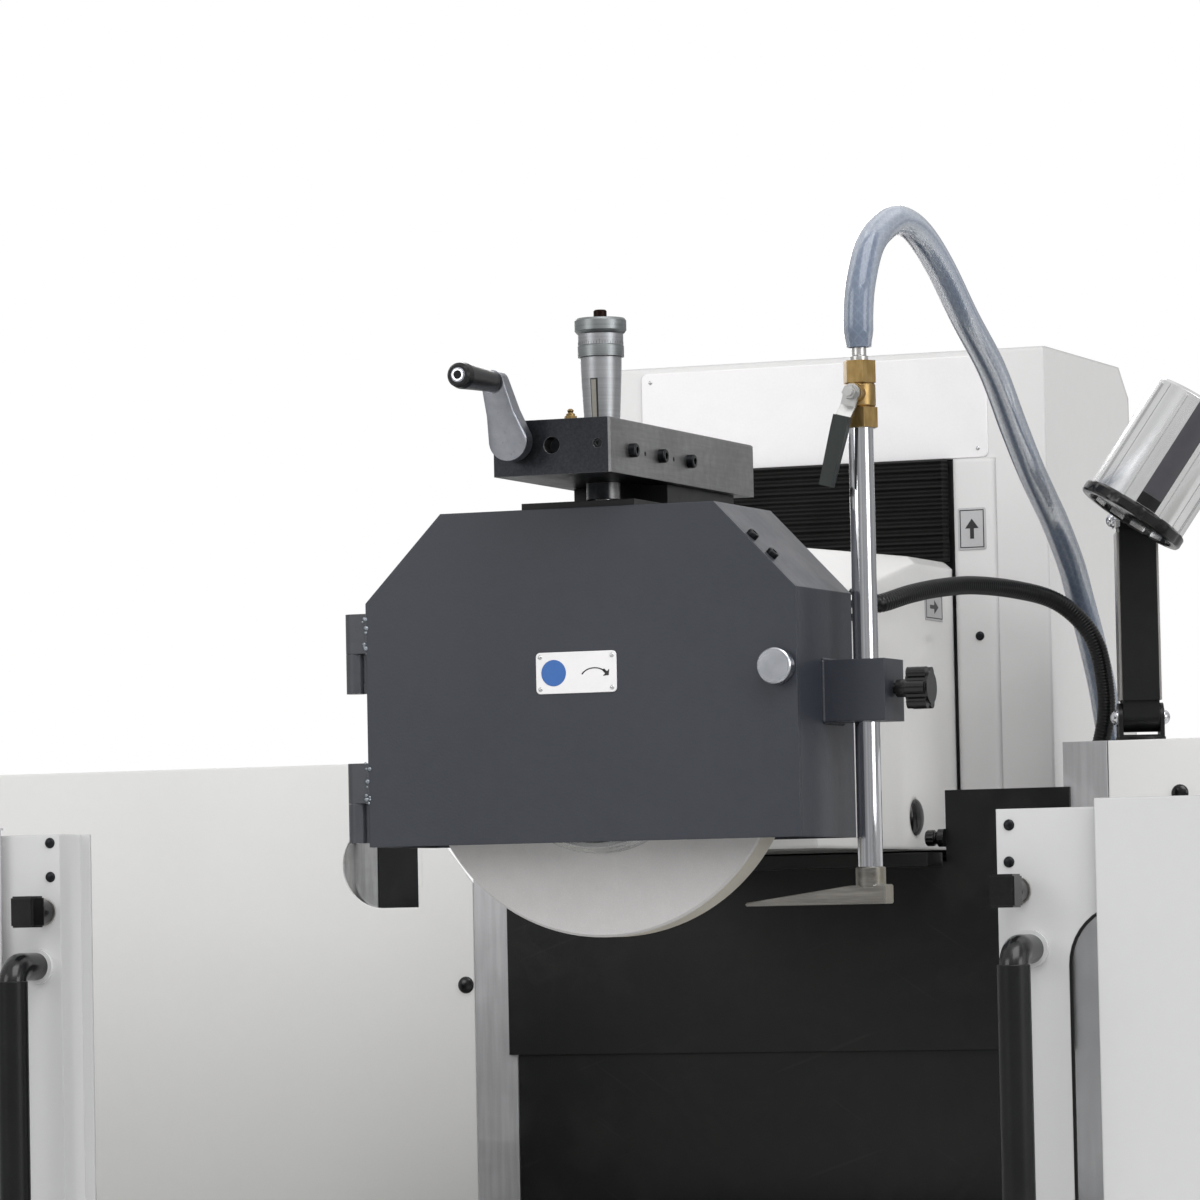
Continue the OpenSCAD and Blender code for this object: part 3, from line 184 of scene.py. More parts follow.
def newGroup(name, inputs, outputs):
    tree = bpy.data.node_groups.new(name, "ShaderNodeTree")
    kinds = {"value": "NodeSocketFloat", "vector": "NodeSocketVector", "colour": "NodeSocketColor"}
    for label, kind, value in inputs:
        tree.interface.new_socket(label, in_out="INPUT", socket_type=kinds[kind]).default_value = value
    for label, kind in outputs:
        tree.interface.new_socket(label, in_out="OUTPUT", socket_type=kinds[kind])
    return tree, addNode(tree, "NodeGroupInput").outputs, addNode(tree, "NodeGroupOutput").inputs


def useGroup(tree, group, **values):
    node = addNode(tree, "ShaderNodeGroup", node_tree=group)
    feedAll(tree, node, **values)
    return node.outputs


def parts(tree, vector):  # a vector's three numbers
    node = addNode(tree, "ShaderNodeSeparateXYZ")
    feed(tree, vector, node.inputs[0])
    return node.outputs


def objectPlace(tree):
    return addNode(tree, "ShaderNodeTexCoord").outputs["Object"]


def faceNormal(tree):
    return addNode(tree, "ShaderNodeNewGeometry").outputs["Normal"]


# shared effects


def makeSoftEdge():  # rounded edges in the shading, and a mask of where they are
    tree, given, out = newGroup(
        "softEdge", [("Radius", "value", 0.001)], [("Normal", "vector"), ("Edge", "value")]
    )
    bevel = addNode(tree, "ShaderNodeBevel", samples=4)
    feed(tree, given["Radius"], bevel.inputs["Radius"])
    turned = vectorNode(tree, "DOT_PRODUCT", bevel.outputs[0], faceNormal(tree))
    feed(tree, bevel.outputs[0], out["Normal"])
    feed(tree, spread(tree, turned, 0.995, 0.8), out["Edge"])
    return tree


def makeCloud():  # broad and fine patches
    tree, given, out = newGroup(
        "cloud", [("Scale", "value", 6.0), ("Fine", "value", 60.0)], [("Value", "value")]
    )
    place = objectPlace(tree)
    broad = noiseNode(tree, place, given["Scale"], 3.0, 0.55, 0.4)
    fine = noiseNode(tree, place, given["Fine"], 2.0)
    both = mathNode(tree, "ADD", times(tree, broad, 0.65), times(tree, fine, 0.35))
    feed(tree, spread(tree, both, 0.33, 0.67), out["Value"])
    return tree


def makeSprayedSkin():  # the small ripple of sprayed enamel
    tree, given, out = newGroup("sprayedSkin", [("Scale", "value", 320.0)], [("Height", "value")])
    place = objectPlace(tree)
    ripple = noiseNode(tree, place, given["Scale"], 1.0, 0.4)
    wave = noiseNode(tree, place, 9.0, 1.0)
    feed(tree, mathNode(tree, "ADD", ripple, times(tree, wave, 1.6)), out["Height"])
    return tree


def makeStreaks():  # drawn or ground lines along one direction
    tree, given, out = newGroup(
        "streaks", [("Stretch", "vector", (1, 1, 1)), ("Scale", "value", 200.0)], [("Value", "value")]
    )
    place = vectorNode(tree, "MULTIPLY", objectPlace(tree), given["Stretch"])
    lines = noiseNode(tree, place, given["Scale"], 3.0, 0.65)
    feed(tree, spread(tree, lines, 0.3, 0.7), out["Value"])
    return tree


def makeTurning():  # tool marks round an axis
    tree, given, out = newGroup(
        "turning",
        [("Centre", "vector", (0, 0, 0)), ("Axis", "vector", (0, 1, 0)), ("Scale", "value", 900.0)],
        [("Value", "value")],
    )
    place = vectorNode(tree, "SUBTRACT", objectPlace(tree), given["Centre"])
    along = vectorNode(tree, "DOT_PRODUCT", place, given["Axis"])
    onAxis = vectorNode(tree, "SCALE", given["Axis"], scale=along)
    reach = vectorNode(tree, "LENGTH", vectorNode(tree, "SUBTRACT", place, onAxis))
    pair = addNode(tree, "ShaderNodeCombineXYZ")
    feed(tree, along, pair.inputs[0])
    feed(tree, reach, pair.inputs[1])
    rings = noiseNode(tree, pair.outputs[0], given["Scale"], 2.0, 0.6)
    smear = noiseNode(tree, place, 40.0, 2.0)
    both = mathNode(tree, "ADD", rings, times(tree, smear, 0.3))
    feed(tree, spread(tree, both, 0.4, 0.9), out["Value"])
    return tree


def makeCastGrain():  # sand-cast or crackle texture
    tree, given, out = newGroup(
        "castGrain", [("Scale", "value", 400.0)], [("Height", "value"), ("Pits", "value")]
    )
    place = objectPlace(tree)
    lumps = noiseNode(tree, place, given["Scale"], 4.0, 0.6)
    cells = addNode(tree, "ShaderNodeTexVoronoi")
    feedAll(tree, cells, Vector=place, Scale=given["Scale"])
    feed(tree, mathNode(tree, "ADD", lumps, times(tree, cells.outputs["Distance"], 0.4)), out["Height"])
    feed(tree, spread(tree, lumps, 0.62, 0.7), out["Pits"])
    return tree


def makeSettled():  # dust on faces that look up
    tree, given, out = newGroup(
        "settled", [("Amount", "value", 0.5), ("Scale", "value", 18.0)], [("Mask", "value")]
    )
    up = spread(tree, parts(tree, faceNormal(tree))[2], 0.2, 1.0)
    patch = spread(tree, noiseNode(tree, objectPlace(tree), given["Scale"], 4.0, 0.6), 0.3, 0.75)
    feed(tree, times(tree, times(tree, up, patch), given["Amount"]), out["Mask"])
    return tree


def makeRunoff():  # grime that thickens downwards between two heights
    tree, given, out = newGroup(
        "runoff",
        [("Top", "value", 1.2), ("Bottom", "value", 1.0), ("Amount", "value", 0.5)],
        [("Mask", "value")],
    )
    place = objectPlace(tree)
    low = spread(tree, parts(tree, place)[2], given["Top"], given["Bottom"])
    runs = noiseNode(tree, vectorNode(tree, "MULTIPLY", place, (1, 1, 0.15)), 14.0, 4.0, 0.6)
    patch = noiseNode(tree, place, 5.0, 3.0)
    both = times(tree, spread(tree, runs, 0.25, 0.75), spread(tree, patch, 0.3, 0.7))
    both = mathNode(tree, "ADD", times(tree, both, 0.6), 0.4)
    feed(tree, times(tree, times(tree, low, both), given["Amount"], clamp=True), out["Mask"])
    return tree


def makeScratches():  # thin crossed scratches and rubbed patches
    tree, given, out = newGroup(
        "scratches", [("Scale", "value", 30.0)], [("Lines", "value"), ("Rubbed", "value")]
    )
    place = objectPlace(tree)
    sets = []
    for angle in (0.35, -0.6):
        turned = addNode(tree, "ShaderNodeVectorRotate", rotation_type="Y_AXIS")
        feedAll(tree, turned, Vector=place, Angle=angle)
        stretched = vectorNode(tree, "MULTIPLY", turned.outputs[0], (0.12, 1, 3.0))
        fine = noiseNode(tree, stretched, times(tree, given["Scale"], 4.0), 2.0)
        sets.append(spread(tree, fine, 0.69, 0.74))
    feed(tree, mathNode(tree, "MAXIMUM", *sets), out["Lines"])
    rubbed = noiseNode(tree, place, given["Scale"], 5.0, 0.7, 0.6)
    feed(tree, spread(tree, rubbed, 0.5, 0.72), out["Rubbed"])
    return tree


softEdge = makeSoftEdge()
cloud = makeCloud()
sprayedSkin = makeSprayedSkin()
streaks = makeStreaks()
turning = makeTurning()
castGrain = makeCastGrain()
settled = makeSettled()
runoff = makeRunoff()
scratches = makeScratches()
print("built 9 shared effects")

# materials


def startMaterial(name, roughness=0.4, metallic=0.0, coat=0.0, coatRoughness=0.1, specular=0.5):
    material = bpy.data.materials.new(name)
    material.use_nodes = True
    tree = material.node_tree
    tree.nodes.clear()
    shader = addNode(tree, "ShaderNodeBsdfPrincipled")
    feed(tree, shader.outputs[0], addNode(tree, "ShaderNodeOutputMaterial").inputs["Surface"])
    feedAll(tree, shader, Roughness=roughness, Metallic=metallic, Coat_Weight=coat)
    feedAll(tree, shader, Coat_Roughness=coatRoughness, Specular_IOR_Level=specular)
    return material, tree, shader


def setBump(tree, shader, height, strength, distance, soft=None):
    node = addNode(tree, "ShaderNodeBump")
    feedAll(tree, node, Strength=strength, Distance=distance, Height=height)
    if soft:
        feed(tree, soft["Normal"], node.inputs["Normal"])
    feed(tree, node.outputs[0], shader.inputs["Normal"])


def rgb(*values):
    return (*values, 1.0)


def twoTone(tree, factor, look):
    return mixColour(tree, factor, rgb(*look["colour"]), rgb(*look["second"]))


def tinted(tree, colour, mask, tint, amount=None):  # another colour laid over where the mask is
    if amount is not None:
        mask = times(tree, mask, amount)
    return mixColour(tree, mask, colour, rgb(*tint))


def calmed(tree, roughness):  # dull to light that a matt surface has scattered
    path = addNode(tree, "ShaderNodeLightPath").outputs
    return mathNode(tree, "MAXIMUM", roughness, path["Is Diffuse Ray"])


def setRoughness(tree, shader, value, span, top=1, calm=False):
    roughness = spread(tree, value, 0, top, *span)
    feed(tree, calmed(tree, roughness) if calm else roughness, shader.inputs["Roughness"])


def zoned(tree, shader, look, colour):  # another colour, bare or blackened, beyond a plane
    if "zone" not in look:
        return colour
    z = look["zone"]
    mask = spread(
        tree, vectorNode(tree, "DOT_PRODUCT", objectPlace(tree), z["along"]), z["from"], z["to"]
    )
    base = shader.inputs["Metallic"].default_value
    feed(tree, spread(tree, mask, 0, 1, base, z["metallic"]), shader.inputs["Metallic"])
    return mixColour(tree, mask, colour, rgb(*z["colour"]))


def enamel(name, look):  # sprayed machine enamel
    material, tree, shader = startMaterial(
        name,
        coat=look.get("coat", 0.3),
        coatRoughness=look.get("coatRoughness", 0.12),
        specular=look.get("specular", 0.5),
    )
    soft = useGroup(tree, softEdge, Radius=look["edge"])
    patch = useGroup(tree, cloud, Scale=5.0, Fine=90.0)["Value"]
    colour = twoTone(tree, patch, look)
    if "grime" in look:
        g = look["grime"]
        mask = useGroup(tree, runoff, Top=g["top"], Bottom=g["bottom"], Amount=g["amount"])["Mask"]
        colour = tinted(tree, colour, mask, g["colour"])
    if "dust" in look:
        mask = useGroup(tree, settled, Amount=look["dust"]["amount"])["Mask"]
        colour = tinted(tree, colour, mask, look["dust"]["colour"])
    if "wear" in look:
        chips = spread(tree, useGroup(tree, cloud, Scale=40.0, Fine=260.0)["Value"], 0.35, 0.75)
        mask = times(tree, soft["Edge"], times(tree, chips, look["wear"]["amount"]))
        colour = tinted(tree, colour, mask, look["wear"]["colour"])
    feed(tree, colour, shader.inputs["Base Color"])
    setRoughness(tree, shader, patch, look["roughness"])
    skin = useGroup(tree, sprayedSkin, Scale=look.get("ripple", 320.0))["Height"]
    setBump(tree, shader, skin, look.get("bump", 0.03), 0.0006, soft)
    return material


def turnedMetal(name, look):  # lathe-turned, with rings round its axis
    material, tree, shader = startMaterial(name, metallic=1.0)
    soft = useGroup(tree, softEdge, Radius=0.0006)
    scale = look.get("scale", 900.0)
    marks = useGroup(tree, turning, Centre=look["centre"], Axis=look["axis"], Scale=scale)["Value"]
    colour = twoTone(tree, marks, look)
    stain = useGroup(tree, cloud, Scale=14.0, Fine=120.0)["Value"]
    colour = tinted(tree, colour, stain, look["stainColour"], 0.25)
    feed(tree, zoned(tree, shader, look, colour), shader.inputs["Base Color"])
    setRoughness(tree, shader, mathNode(tree, "ADD", marks, stain), look["roughness"], 2, calm=True)
    setBump(tree, shader, marks, 0.12, 0.0002, soft)
    return material


def drawnMetal(name, look):  # ground, brushed or blackened, with lines one way
    material, tree, shader = startMaterial(name, metallic=look.get("metallic", 1.0))
    soft = useGroup(tree, softEdge, Radius=look.get("edge", 0.0006))
    lines = useGroup(tree, streaks, Stretch=look["stretch"], Scale=look.get("scale", 240.0))["Value"]
    colour = twoTone(tree, lines, look)
    if "side" in look:  # another tone painted on the faces along one axis: painted light on the side the light falls on, and on the dresser block also its ground side
        facing = parts(tree, faceNormal(tree))[look["side"]["axis"]]
        sideToneAndLight = spread(tree, mathNode(tree, "ABSOLUTE", facing), 0.6, 0.8)
        colour = mixColour(tree, sideToneAndLight, colour, twoTone(tree, lines, look["side"]))
    stain = useGroup(tree, cloud, Scale=9.0, Fine=110.0)["Value"]
    colour = tinted(tree, colour, stain, look["stainColour"], look.get("stain", 0.3))
    # edges lightened: wear, and on the spray nozzle also a painted highlight along its edges
    worn = look.get("worn", look["second"])
    colour = tinted(tree, colour, soft["Edge"], worn, look.get("wear", 0.5))
    feed(tree, zoned(tree, shader, look, colour), shader.inputs["Base Color"])
    setRoughness(tree, shader, mathNode(tree, "ADD", lines, stain), look["roughness"], 2, calm=True)
    setBump(tree, shader, lines, look.get("bump", 0.15), 0.0002, soft)
    return material


def castMetal(name, look):  # cast, with pits
    material, tree, shader = startMaterial(name, metallic=look.get("metallic", 1.0))
    soft = useGroup(tree, softEdge, Radius=0.0012)
    grain = useGroup(tree, castGrain, Scale=420.0)
    patch = useGroup(tree, cloud, Scale=12.0, Fine=140.0)["Value"]
    colour = twoTone(tree, patch, look)
    colour = tinted(tree, colour, grain["Pits"], look["pit"], 0.6)
    colour = tinted(tree, colour, soft["Edge"], look["second"], 0.4)
    feed(tree, colour, shader.inputs["Base Color"])
    setRoughness(tree, shader, patch, look["roughness"])
    setBump(tree, shader, grain["Height"], look.get("bump", 0.25), 0.0005, soft)
    return material


def mouldedPlastic(name, look):  # moulded, printed or rubber
    material, tree, shader = startMaterial(
        name, coat=look.get("coat", 0.0), specular=look.get("specular", 0.5)
    )
    soft = useGroup(tree, softEdge, Radius=0.0008)
    patch = useGroup(tree, cloud, Scale=20.0, Fine=400.0)["Value"]
    colour = twoTone(tree, patch, look)
    dust = useGroup(tree, settled, Amount=look["dust"], Scale=60.0)["Mask"]
    colour = tinted(tree, colour, dust, (0.30, 0.29, 0.27))
    feed(tree, zoned(tree, shader, look, colour), shader.inputs["Base Color"])
    setRoughness(tree, shader, patch, look["roughness"])
    grain = useGroup(tree, castGrain, Scale=900.0)["Height"]
    setBump(tree, shader, grain, 0.06, 0.0003, soft)
    return material


enamelLooks = {
    "guardEnamel": {
        "colour": (0.026, 0.030, 0.040), "second": (0.031, 0.035, 0.046), "roughness": (0.36, 0.44),
        "coat": 0.12, "coatRoughness": 0.26, "specular": 0.42, "edge": 0.0016, "bump": 0.14,
        "ripple": 420.0, "wear": {"amount": 0.35, "colour": (0.12, 0.125, 0.13)},
        "dust": {"amount": 0.5, "colour": (0.22, 0.22, 0.23)},
    },
    "hingeEnamel": {
        "colour": (0.036, 0.039, 0.048), "second": (0.052, 0.056, 0.066), "roughness": (0.36, 0.48),
        "coat": 0.15, "edge": 0.0010, "bump": 0.2,
        "wear": {"amount": 0.9, "colour": (0.26, 0.27, 0.28)},
    },
    "headEnamel": {
        "colour": (0.780, 0.774, 0.764), "second": (0.792, 0.786, 0.777), "roughness": (0.21, 0.26),
        "edge": 0.006,
        "grime": {"top": 1.60, "bottom": 1.49, "amount": 0.03, "colour": (0.70, 0.69, 0.66)},
    },
    "columnEnamel": {
        "colour": (0.700, 0.694, 0.692), "second": (0.712, 0.706, 0.704), "roughness": (0.21, 0.26),
        "edge": 0.007,
        "grime": {"top": 1.15, "bottom": 0.86, "amount": 0.05, "colour": (0.64, 0.63, 0.60)},
        "dust": {"amount": 0.1, "colour": (0.58, 0.57, 0.54)},
    },
    "panelEnamel": {
        "colour": (0.885, 0.882, 0.872), "second": (0.900, 0.898, 0.890), "roughness": (0.2, 0.26),
        "edge": 0.0022,
        "grime": {"top": 1.30, "bottom": 1.02, "amount": 0.12, "colour": (0.82, 0.81, 0.68)},
    },
    # the panels' white enamel painted darker for the shade on the front panels and doors; its runoff mask
    # darkens it further towards the bottom
    "doorEnamel": {
        "colour": (0.590, 0.591, 0.596), "second": (0.602, 0.603, 0.608), "roughness": (0.2, 0.26),
        "edge": 0.0022,
        "grime": {"top": 1.20, "bottom": 1.0, "amount": 0.15, "colour": (0.55, 0.54, 0.50)},
    },
    "trayEnamel": {
        "colour": (0.72, 0.72, 0.71), "second": (0.76, 0.76, 0.755), "roughness": (0.285, 0.36),
        "edge": 0.003, "wear": {"amount": 0.4, "colour": (0.42, 0.41, 0.38)},
        "grime": {"top": 1.02, "bottom": 0.84, "amount": 0.45, "colour": (0.50, 0.48, 0.41)},
        "dust": {"amount": 0.3, "colour": (0.48, 0.46, 0.42)},
    },
    "bedEnamel": {
        "colour": (0.62, 0.625, 0.60), "second": (0.68, 0.685, 0.66), "roughness": (0.28, 0.42),
        "edge": 0.006, "bump": 0.2, "ripple": 160.0,
        "wear": {"amount": 0.6, "colour": (0.30, 0.29, 0.27)},
        "grime": {"top": 0.5, "bottom": 0.0, "amount": 0.6, "colour": (0.30, 0.285, 0.25)},
        "dust": {"amount": 0.45, "colour": (0.42, 0.40, 0.36)},
    },
    "satinBlack": {
        "colour": (0.0055, 0.0057, 0.0062), "second": (0.0090, 0.0092, 0.0098),
        "roughness": (0.34, 0.46), "coat": 0.0, "specular": 0.28, "edge": 0.0010,
        "wear": {"amount": 0.3, "colour": (0.07, 0.07, 0.07)},
        "dust": {"amount": 0.15, "colour": (0.09, 0.09, 0.088)},
    },
    "bandCharcoal": {
        "colour": (0.042, 0.040, 0.048), "second": (0.056, 0.053, 0.062), "roughness": (0.285, 0.36),
        "coat": 0.3, "edge": 0.0006,
    },
}
enamelLooks["lipEnamel"] = dict(enamelLooks["panelEnamel"], edge=0.0002)
turnedLooks = {
    "turnedSteel": {
        "colour": (0.50, 0.51, 0.52), "second": (0.64, 0.65, 0.66), "stainColour": (0.36, 0.34, 0.31),
        "roughness": (0.18, 0.36), "centre": (0, 0, 1.6), "axis": (0, 1, 0),
    },
    "knobAluminium": {
        "colour": (0.50, 0.52, 0.56), "second": (0.66, 0.68, 0.72), "stainColour": (0.42, 0.43, 0.45),
        "roughness": (0.16, 0.32), "centre": (0.189, 0, 1.66), "axis": (0, 1, 0), "scale": 1400.0,
    },
    "sleeveSteel": {
        "colour": (0.34, 0.35, 0.365), "second": (0.45, 0.46, 0.475), "stainColour": (0.27, 0.28, 0.29),
        "roughness": (0.34, 0.48), "centre": (0, -0.28, 0), "axis": (0, 0, 1), "scale": 700.0,
    },
    "thimbleSteel": {
        "colour": (0.235, 0.252, 0.258), "second": (0.33, 0.35, 0.357),
        "stainColour": (0.19, 0.20, 0.20), "roughness": (0.32, 0.46), "centre": (0, -0.28, 0),
        "axis": (0, 0, 1), "scale": 700.0,
        "zone": {
            "along": (0, 0, 1),
            "from": 1.9838,
            "to": 1.9842,
            "colour": (0.020, 0.012, 0.010),
            "metallic": 1.0,
        },
    },
}
drawnLooks = {
    "groundSteel": {
        "colour": (0.52, 0.53, 0.54), "second": (0.66, 0.67, 0.68), "stainColour": (0.38, 0.36, 0.32),
        "stretch": (0.05, 1, 1), "roughness": (0.2, 0.38),
    },
    "wayIron": {
        "colour": (0.34, 0.345, 0.35), "second": (0.46, 0.465, 0.47), "stainColour": (0.22, 0.21, 0.19),
        "stretch": (0.06, 1, 1), "roughness": (0.24, 0.42), "scale": 160.0,
    },
    "riseIron": {
        "colour": (0.30, 0.305, 0.31), "second": (0.44, 0.445, 0.45), "stainColour": (0.18, 0.17, 0.15),
        "stretch": (1, 1, 0.06), "roughness": (0.24, 0.42), "scale": 160.0,
    },
    "zincSteel": {
        "colour": (0.42, 0.41, 0.40), "second": (0.58, 0.57, 0.555), "stainColour": (0.34, 0.32, 0.29),
        "stretch": (1, 1, 0.1), "roughness": (0.26, 0.42),
    },
    "blackOxide": {
        "colour": (0.016, 0.017, 0.019), "second": (0.034, 0.036, 0.039),
        "stainColour": (0.012, 0.012, 0.012), "worn": (0.18, 0.18, 0.18), "stretch": (1, 0.3, 1),
        "roughness": (0.3, 0.46), "stain": 0.2,
    },
    "blockSteel": {
        "colour": (0.030, 0.032, 0.037), "second": (0.050, 0.052, 0.058),
        "stainColour": (0.022, 0.023, 0.026), "worn": (0.30, 0.30, 0.31), "stretch": (1, 0.04, 1),
        "roughness": (0.34, 0.5), "scale": 420.0, "wear": 0.5, "edge": 0.0009,
        # the block's faces along X painted lighter grey: its ground side, with painted light on that side
        "side": {"axis": 0, "colour": (0.27, 0.27, 0.27), "second": (0.36, 0.36, 0.36)},
    },
    "nozzleSteel": {
        "colour": (0.15, 0.147, 0.14), "second": (0.28, 0.272, 0.257),
        # bright edges: wear, with a painted highlight along the top slope
        "stainColour": (0.15, 0.13, 0.10), "worn": (0.55, 0.54, 0.51), "wear": 0.7,
        "stretch": (0.08, 1, 1), "roughness": (0.3, 0.5), "stain": 0.35,
        # the nozzle's faces along X painted tan: painted light on its lit side
        "side": {"axis": 0, "colour": (0.30, 0.285, 0.24), "second": (0.40, 0.38, 0.33)},
    },
    "brass": {
        "colour": (0.36, 0.235, 0.085), "second": (0.50, 0.345, 0.145),
        "stainColour": (0.19, 0.13, 0.065), "stretch": (1, 1, 0.25), "roughness": (0.26, 0.44),
        "stain": 0.6, "worn": (0.66, 0.52, 0.27), "wear": 0.35,
        "zone": {
            "along": (0, 0, 1),
            "from": 1.9341,
            "to": 1.9343,
            "colour": (0.62, 0.61, 0.60),
            "metallic": 1.0,
        },
    },
    "chrome": {
        "colour": (0.62, 0.63, 0.66), "second": (0.73, 0.74, 0.77), "stainColour": (0.52, 0.52, 0.55),
        "stretch": (1, 1, 0.05), "roughness": (0.04, 0.11), "bump": 0.02, "stain": 0.3,
    },
    "lampAluminium": {
        "colour": (0.74, 0.74, 0.745), "second": (0.80, 0.80, 0.805), "stainColour": (0.62, 0.61, 0.62),
        "stretch": (1, 1, 1), "roughness": (0.2, 0.26), "bump": 0.0, "stain": 0.06, "scale": 12.0,
    },
    "leverSteel": {
        "metallic": 0.0, "colour": (0.007, 0.011, 0.010), "second": (0.012, 0.018, 0.017),
        "stainColour": (0.010, 0.014, 0.013), "stretch": (1, 1, 0.2), "roughness": (0.34, 0.46),
        "wear": 0.15,
        "zone": {
            "along": (-0.2588, 0, -0.9659),
            "from": -1.8789,
            "to": -1.8791,
            "colour": (0.50, 0.50, 0.49),
            "metallic": 1.0,
        },
    },
    "weldSteel": {
        "metallic": 0.7, "colour": (0.16, 0.18, 0.21), "second": (0.50, 0.55, 0.60),
        "stainColour": (0.06, 0.07, 0.08), "stretch": (1, 1, 1), "roughness": (0.25, 0.45),
        "scale": 900.0, "stain": 0.5,
    },
}
castLooks = {
    "darkCasting": {
        "colour": (0.045, 0.05, 0.055), "second": (0.075, 0.08, 0.085), "pit": (0.03, 0.03, 0.032),
        "metallic": 0.0, "roughness": (0.4, 0.55),
    },
    "crankAluminium": {
        "colour": (0.27, 0.28, 0.31), "second": (0.37, 0.38, 0.42), "pit": (0.17, 0.175, 0.19),
        "roughness": (0.28, 0.44), "bump": 0.14,
    },
}
plasticLooks = {
    "glossBlack": {
        "colour": (0.0035, 0.0035, 0.004), "second": (0.006, 0.006, 0.0065), "roughness": (0.16, 0.26),
        "coat": 0.08, "specular": 0.4, "dust": 0.02,
    },
    "gripBlack": {
        "colour": (0.0034, 0.0036, 0.0042), "second": (0.006, 0.0062, 0.0070),
        "roughness": (0.285, 0.36), "specular": 0.3, "dust": 0.02,
    },
    "tubeBlack": {
        "colour": (0.006, 0.0063, 0.007), "second": (0.010, 0.0103, 0.011), "roughness": (0.18, 0.26),
        "coat": 0.06, "specular": 0.4, "dust": 0.0,
        "zone": {
            "along": (0, 1, 0),
            "from": -0.4744,
            "to": -0.4742,
            "colour": (0.60, 0.60, 0.605),
            "metallic": 0.0,
        },
    },
    "sealRubber": {
        "colour": (0.006, 0.006, 0.006), "second": (0.010, 0.010, 0.010), "roughness": (0.5, 0.65),
        "specular": 0.22, "dust": 0.02,
    },
    "signBlue": {
        "colour": (0.030, 0.12, 0.38), "second": (0.036, 0.135, 0.41), "roughness": (0.3, 0.36),
        "dust": 0.0,
    },
    "printBlack": {
        "colour": (0.012, 0.012, 0.012), "second": (0.018, 0.018, 0.018), "roughness": (0.4, 0.46),
        "dust": 0.0,
    },
    "lampLens": {
        "colour": (0.045, 0.043, 0.034), "second": (0.065, 0.062, 0.048), "roughness": (0.3, 0.36),
        "dust": 0.0,
    },
    "labelGrey": {
        "colour": (0.44, 0.44, 0.45), "second": (0.49, 0.49, 0.50), "roughness": (0.32, 0.4), "dust": 0.05
    },
    "scalePale": {
        "colour": (0.23, 0.22, 0.19), "second": (0.30, 0.285, 0.25), "roughness": (0.3, 0.4), "dust": 0.0
    },
    "labelWhite": {
        "colour": (0.80, 0.79, 0.80), "second": (0.84, 0.83, 0.84), "roughness": (0.16, 0.24),
        "coat": 0.4, "dust": 0.02,
    },
}
finishes = {}
for table, recipe in (
    (enamelLooks, enamel),
    (turnedLooks, turnedMetal),
    (drawnLooks, drawnMetal),
    (castLooks, castMetal),
    (plasticLooks, mouldedPlastic),
):
    for name, look in table.items():
        finishes[name] = recipe(name, look)

wheelLook = {
    "colour": (0.545, 0.535, 0.535),
    "second": (0.60, 0.59, 0.59),
    "rim": (0.66, 0.63, 0.56),
    "dark": (0.20, 0.19, 0.18),
    "pale": (0.90, 0.89, 0.87),
    "grain": 1500.0,
}


def abrasiveStone(look):  # vitrified grain, its face stained darker than its dressed rim
    material, tree, shader = startMaterial("abrasiveStone", roughness=0.85, specular=0.25)
    cells = addNode(tree, "ShaderNodeTexVoronoi")
    feedAll(tree, cells, Vector=objectPlace(tree), Scale=look["grain"])
    tone = parts(tree, cells.outputs["Color"])
    patch = useGroup(tree, cloud, Scale=7.0, Fine=60.0)["Value"]
    face = twoTone(tree, patch, look)
    onFace = spread(tree, mathNode(tree, "ABSOLUTE", parts(tree, faceNormal(tree))[1]), 0.5, 0.7)
    colour = mixColour(tree, onFace, rgb(*look["rim"]), face)
    colour = tinted(tree, colour, spread(tree, tone[0], 0, 1, 0.0, 0.08), look["dark"])
    colour = tinted(tree, colour, spread(tree, tone[1], 0.8, 1, 0.0, 0.10), look["pale"])
    feed(tree, colour, shader.inputs["Base Color"])
    setBump(tree, shader, cells.outputs["Distance"], 0.2, 0.0003)
    return material


apronLook = {
    "colour": (0.0048, 0.0050, 0.0054),
    "second": (0.0085, 0.0087, 0.0090),
    "rubbed": (0.020, 0.0195, 0.018),
    "line": (0.045, 0.043, 0.040),
    "edge": (0.06, 0.06, 0.06),
}
guideLook = {"from": 0.2842, "colour": (0.50, 0.50, 0.515), "second": (0.61, 0.61, 0.625)}


def wornApron(name, look, guide=None):  # rubbed black sheet, with bare guide strips at its sides
    material, tree, shader = startMaterial(name, specular=0.32)
    soft = useGroup(tree, softEdge, Radius=0.0012)
    patch = useGroup(tree, cloud, Scale=4.0, Fine=45.0)["Value"]
    marks = useGroup(tree, scratches, Scale=11.0)
    colour = twoTone(tree, patch, look)
    colour = tinted(tree, colour, marks["Rubbed"], look["rubbed"], 0.4)
    colour = tinted(tree, colour, marks["Lines"], look["line"], 0.12)
    colour = tinted(tree, colour, soft["Edge"], look["edge"], 0.3)
    if guide:
        side = mathNode(tree, "ABSOLUTE", parts(tree, objectPlace(tree))[0])
        bare = spread(tree, side, guide["from"], guide["from"] + 0.0002)
        lines = useGroup(tree, streaks, Stretch=(1, 1, 0.05), Scale=170.0)["Value"]
        colour = mixColour(tree, bare, colour, twoTone(tree, lines, guide))
        feed(tree, spread(tree, bare, 0, 1, 0.0, 0.55), shader.inputs["Metallic"])
    feed(tree, colour, shader.inputs["Base Color"])
    setRoughness(tree, shader, marks["Rubbed"], (0.36, 0.58))
    skin = useGroup(tree, sprayedSkin, Scale=260.0)["Height"]
    setBump(tree, shader, skin, 0.12, 0.0006, soft)
    return material


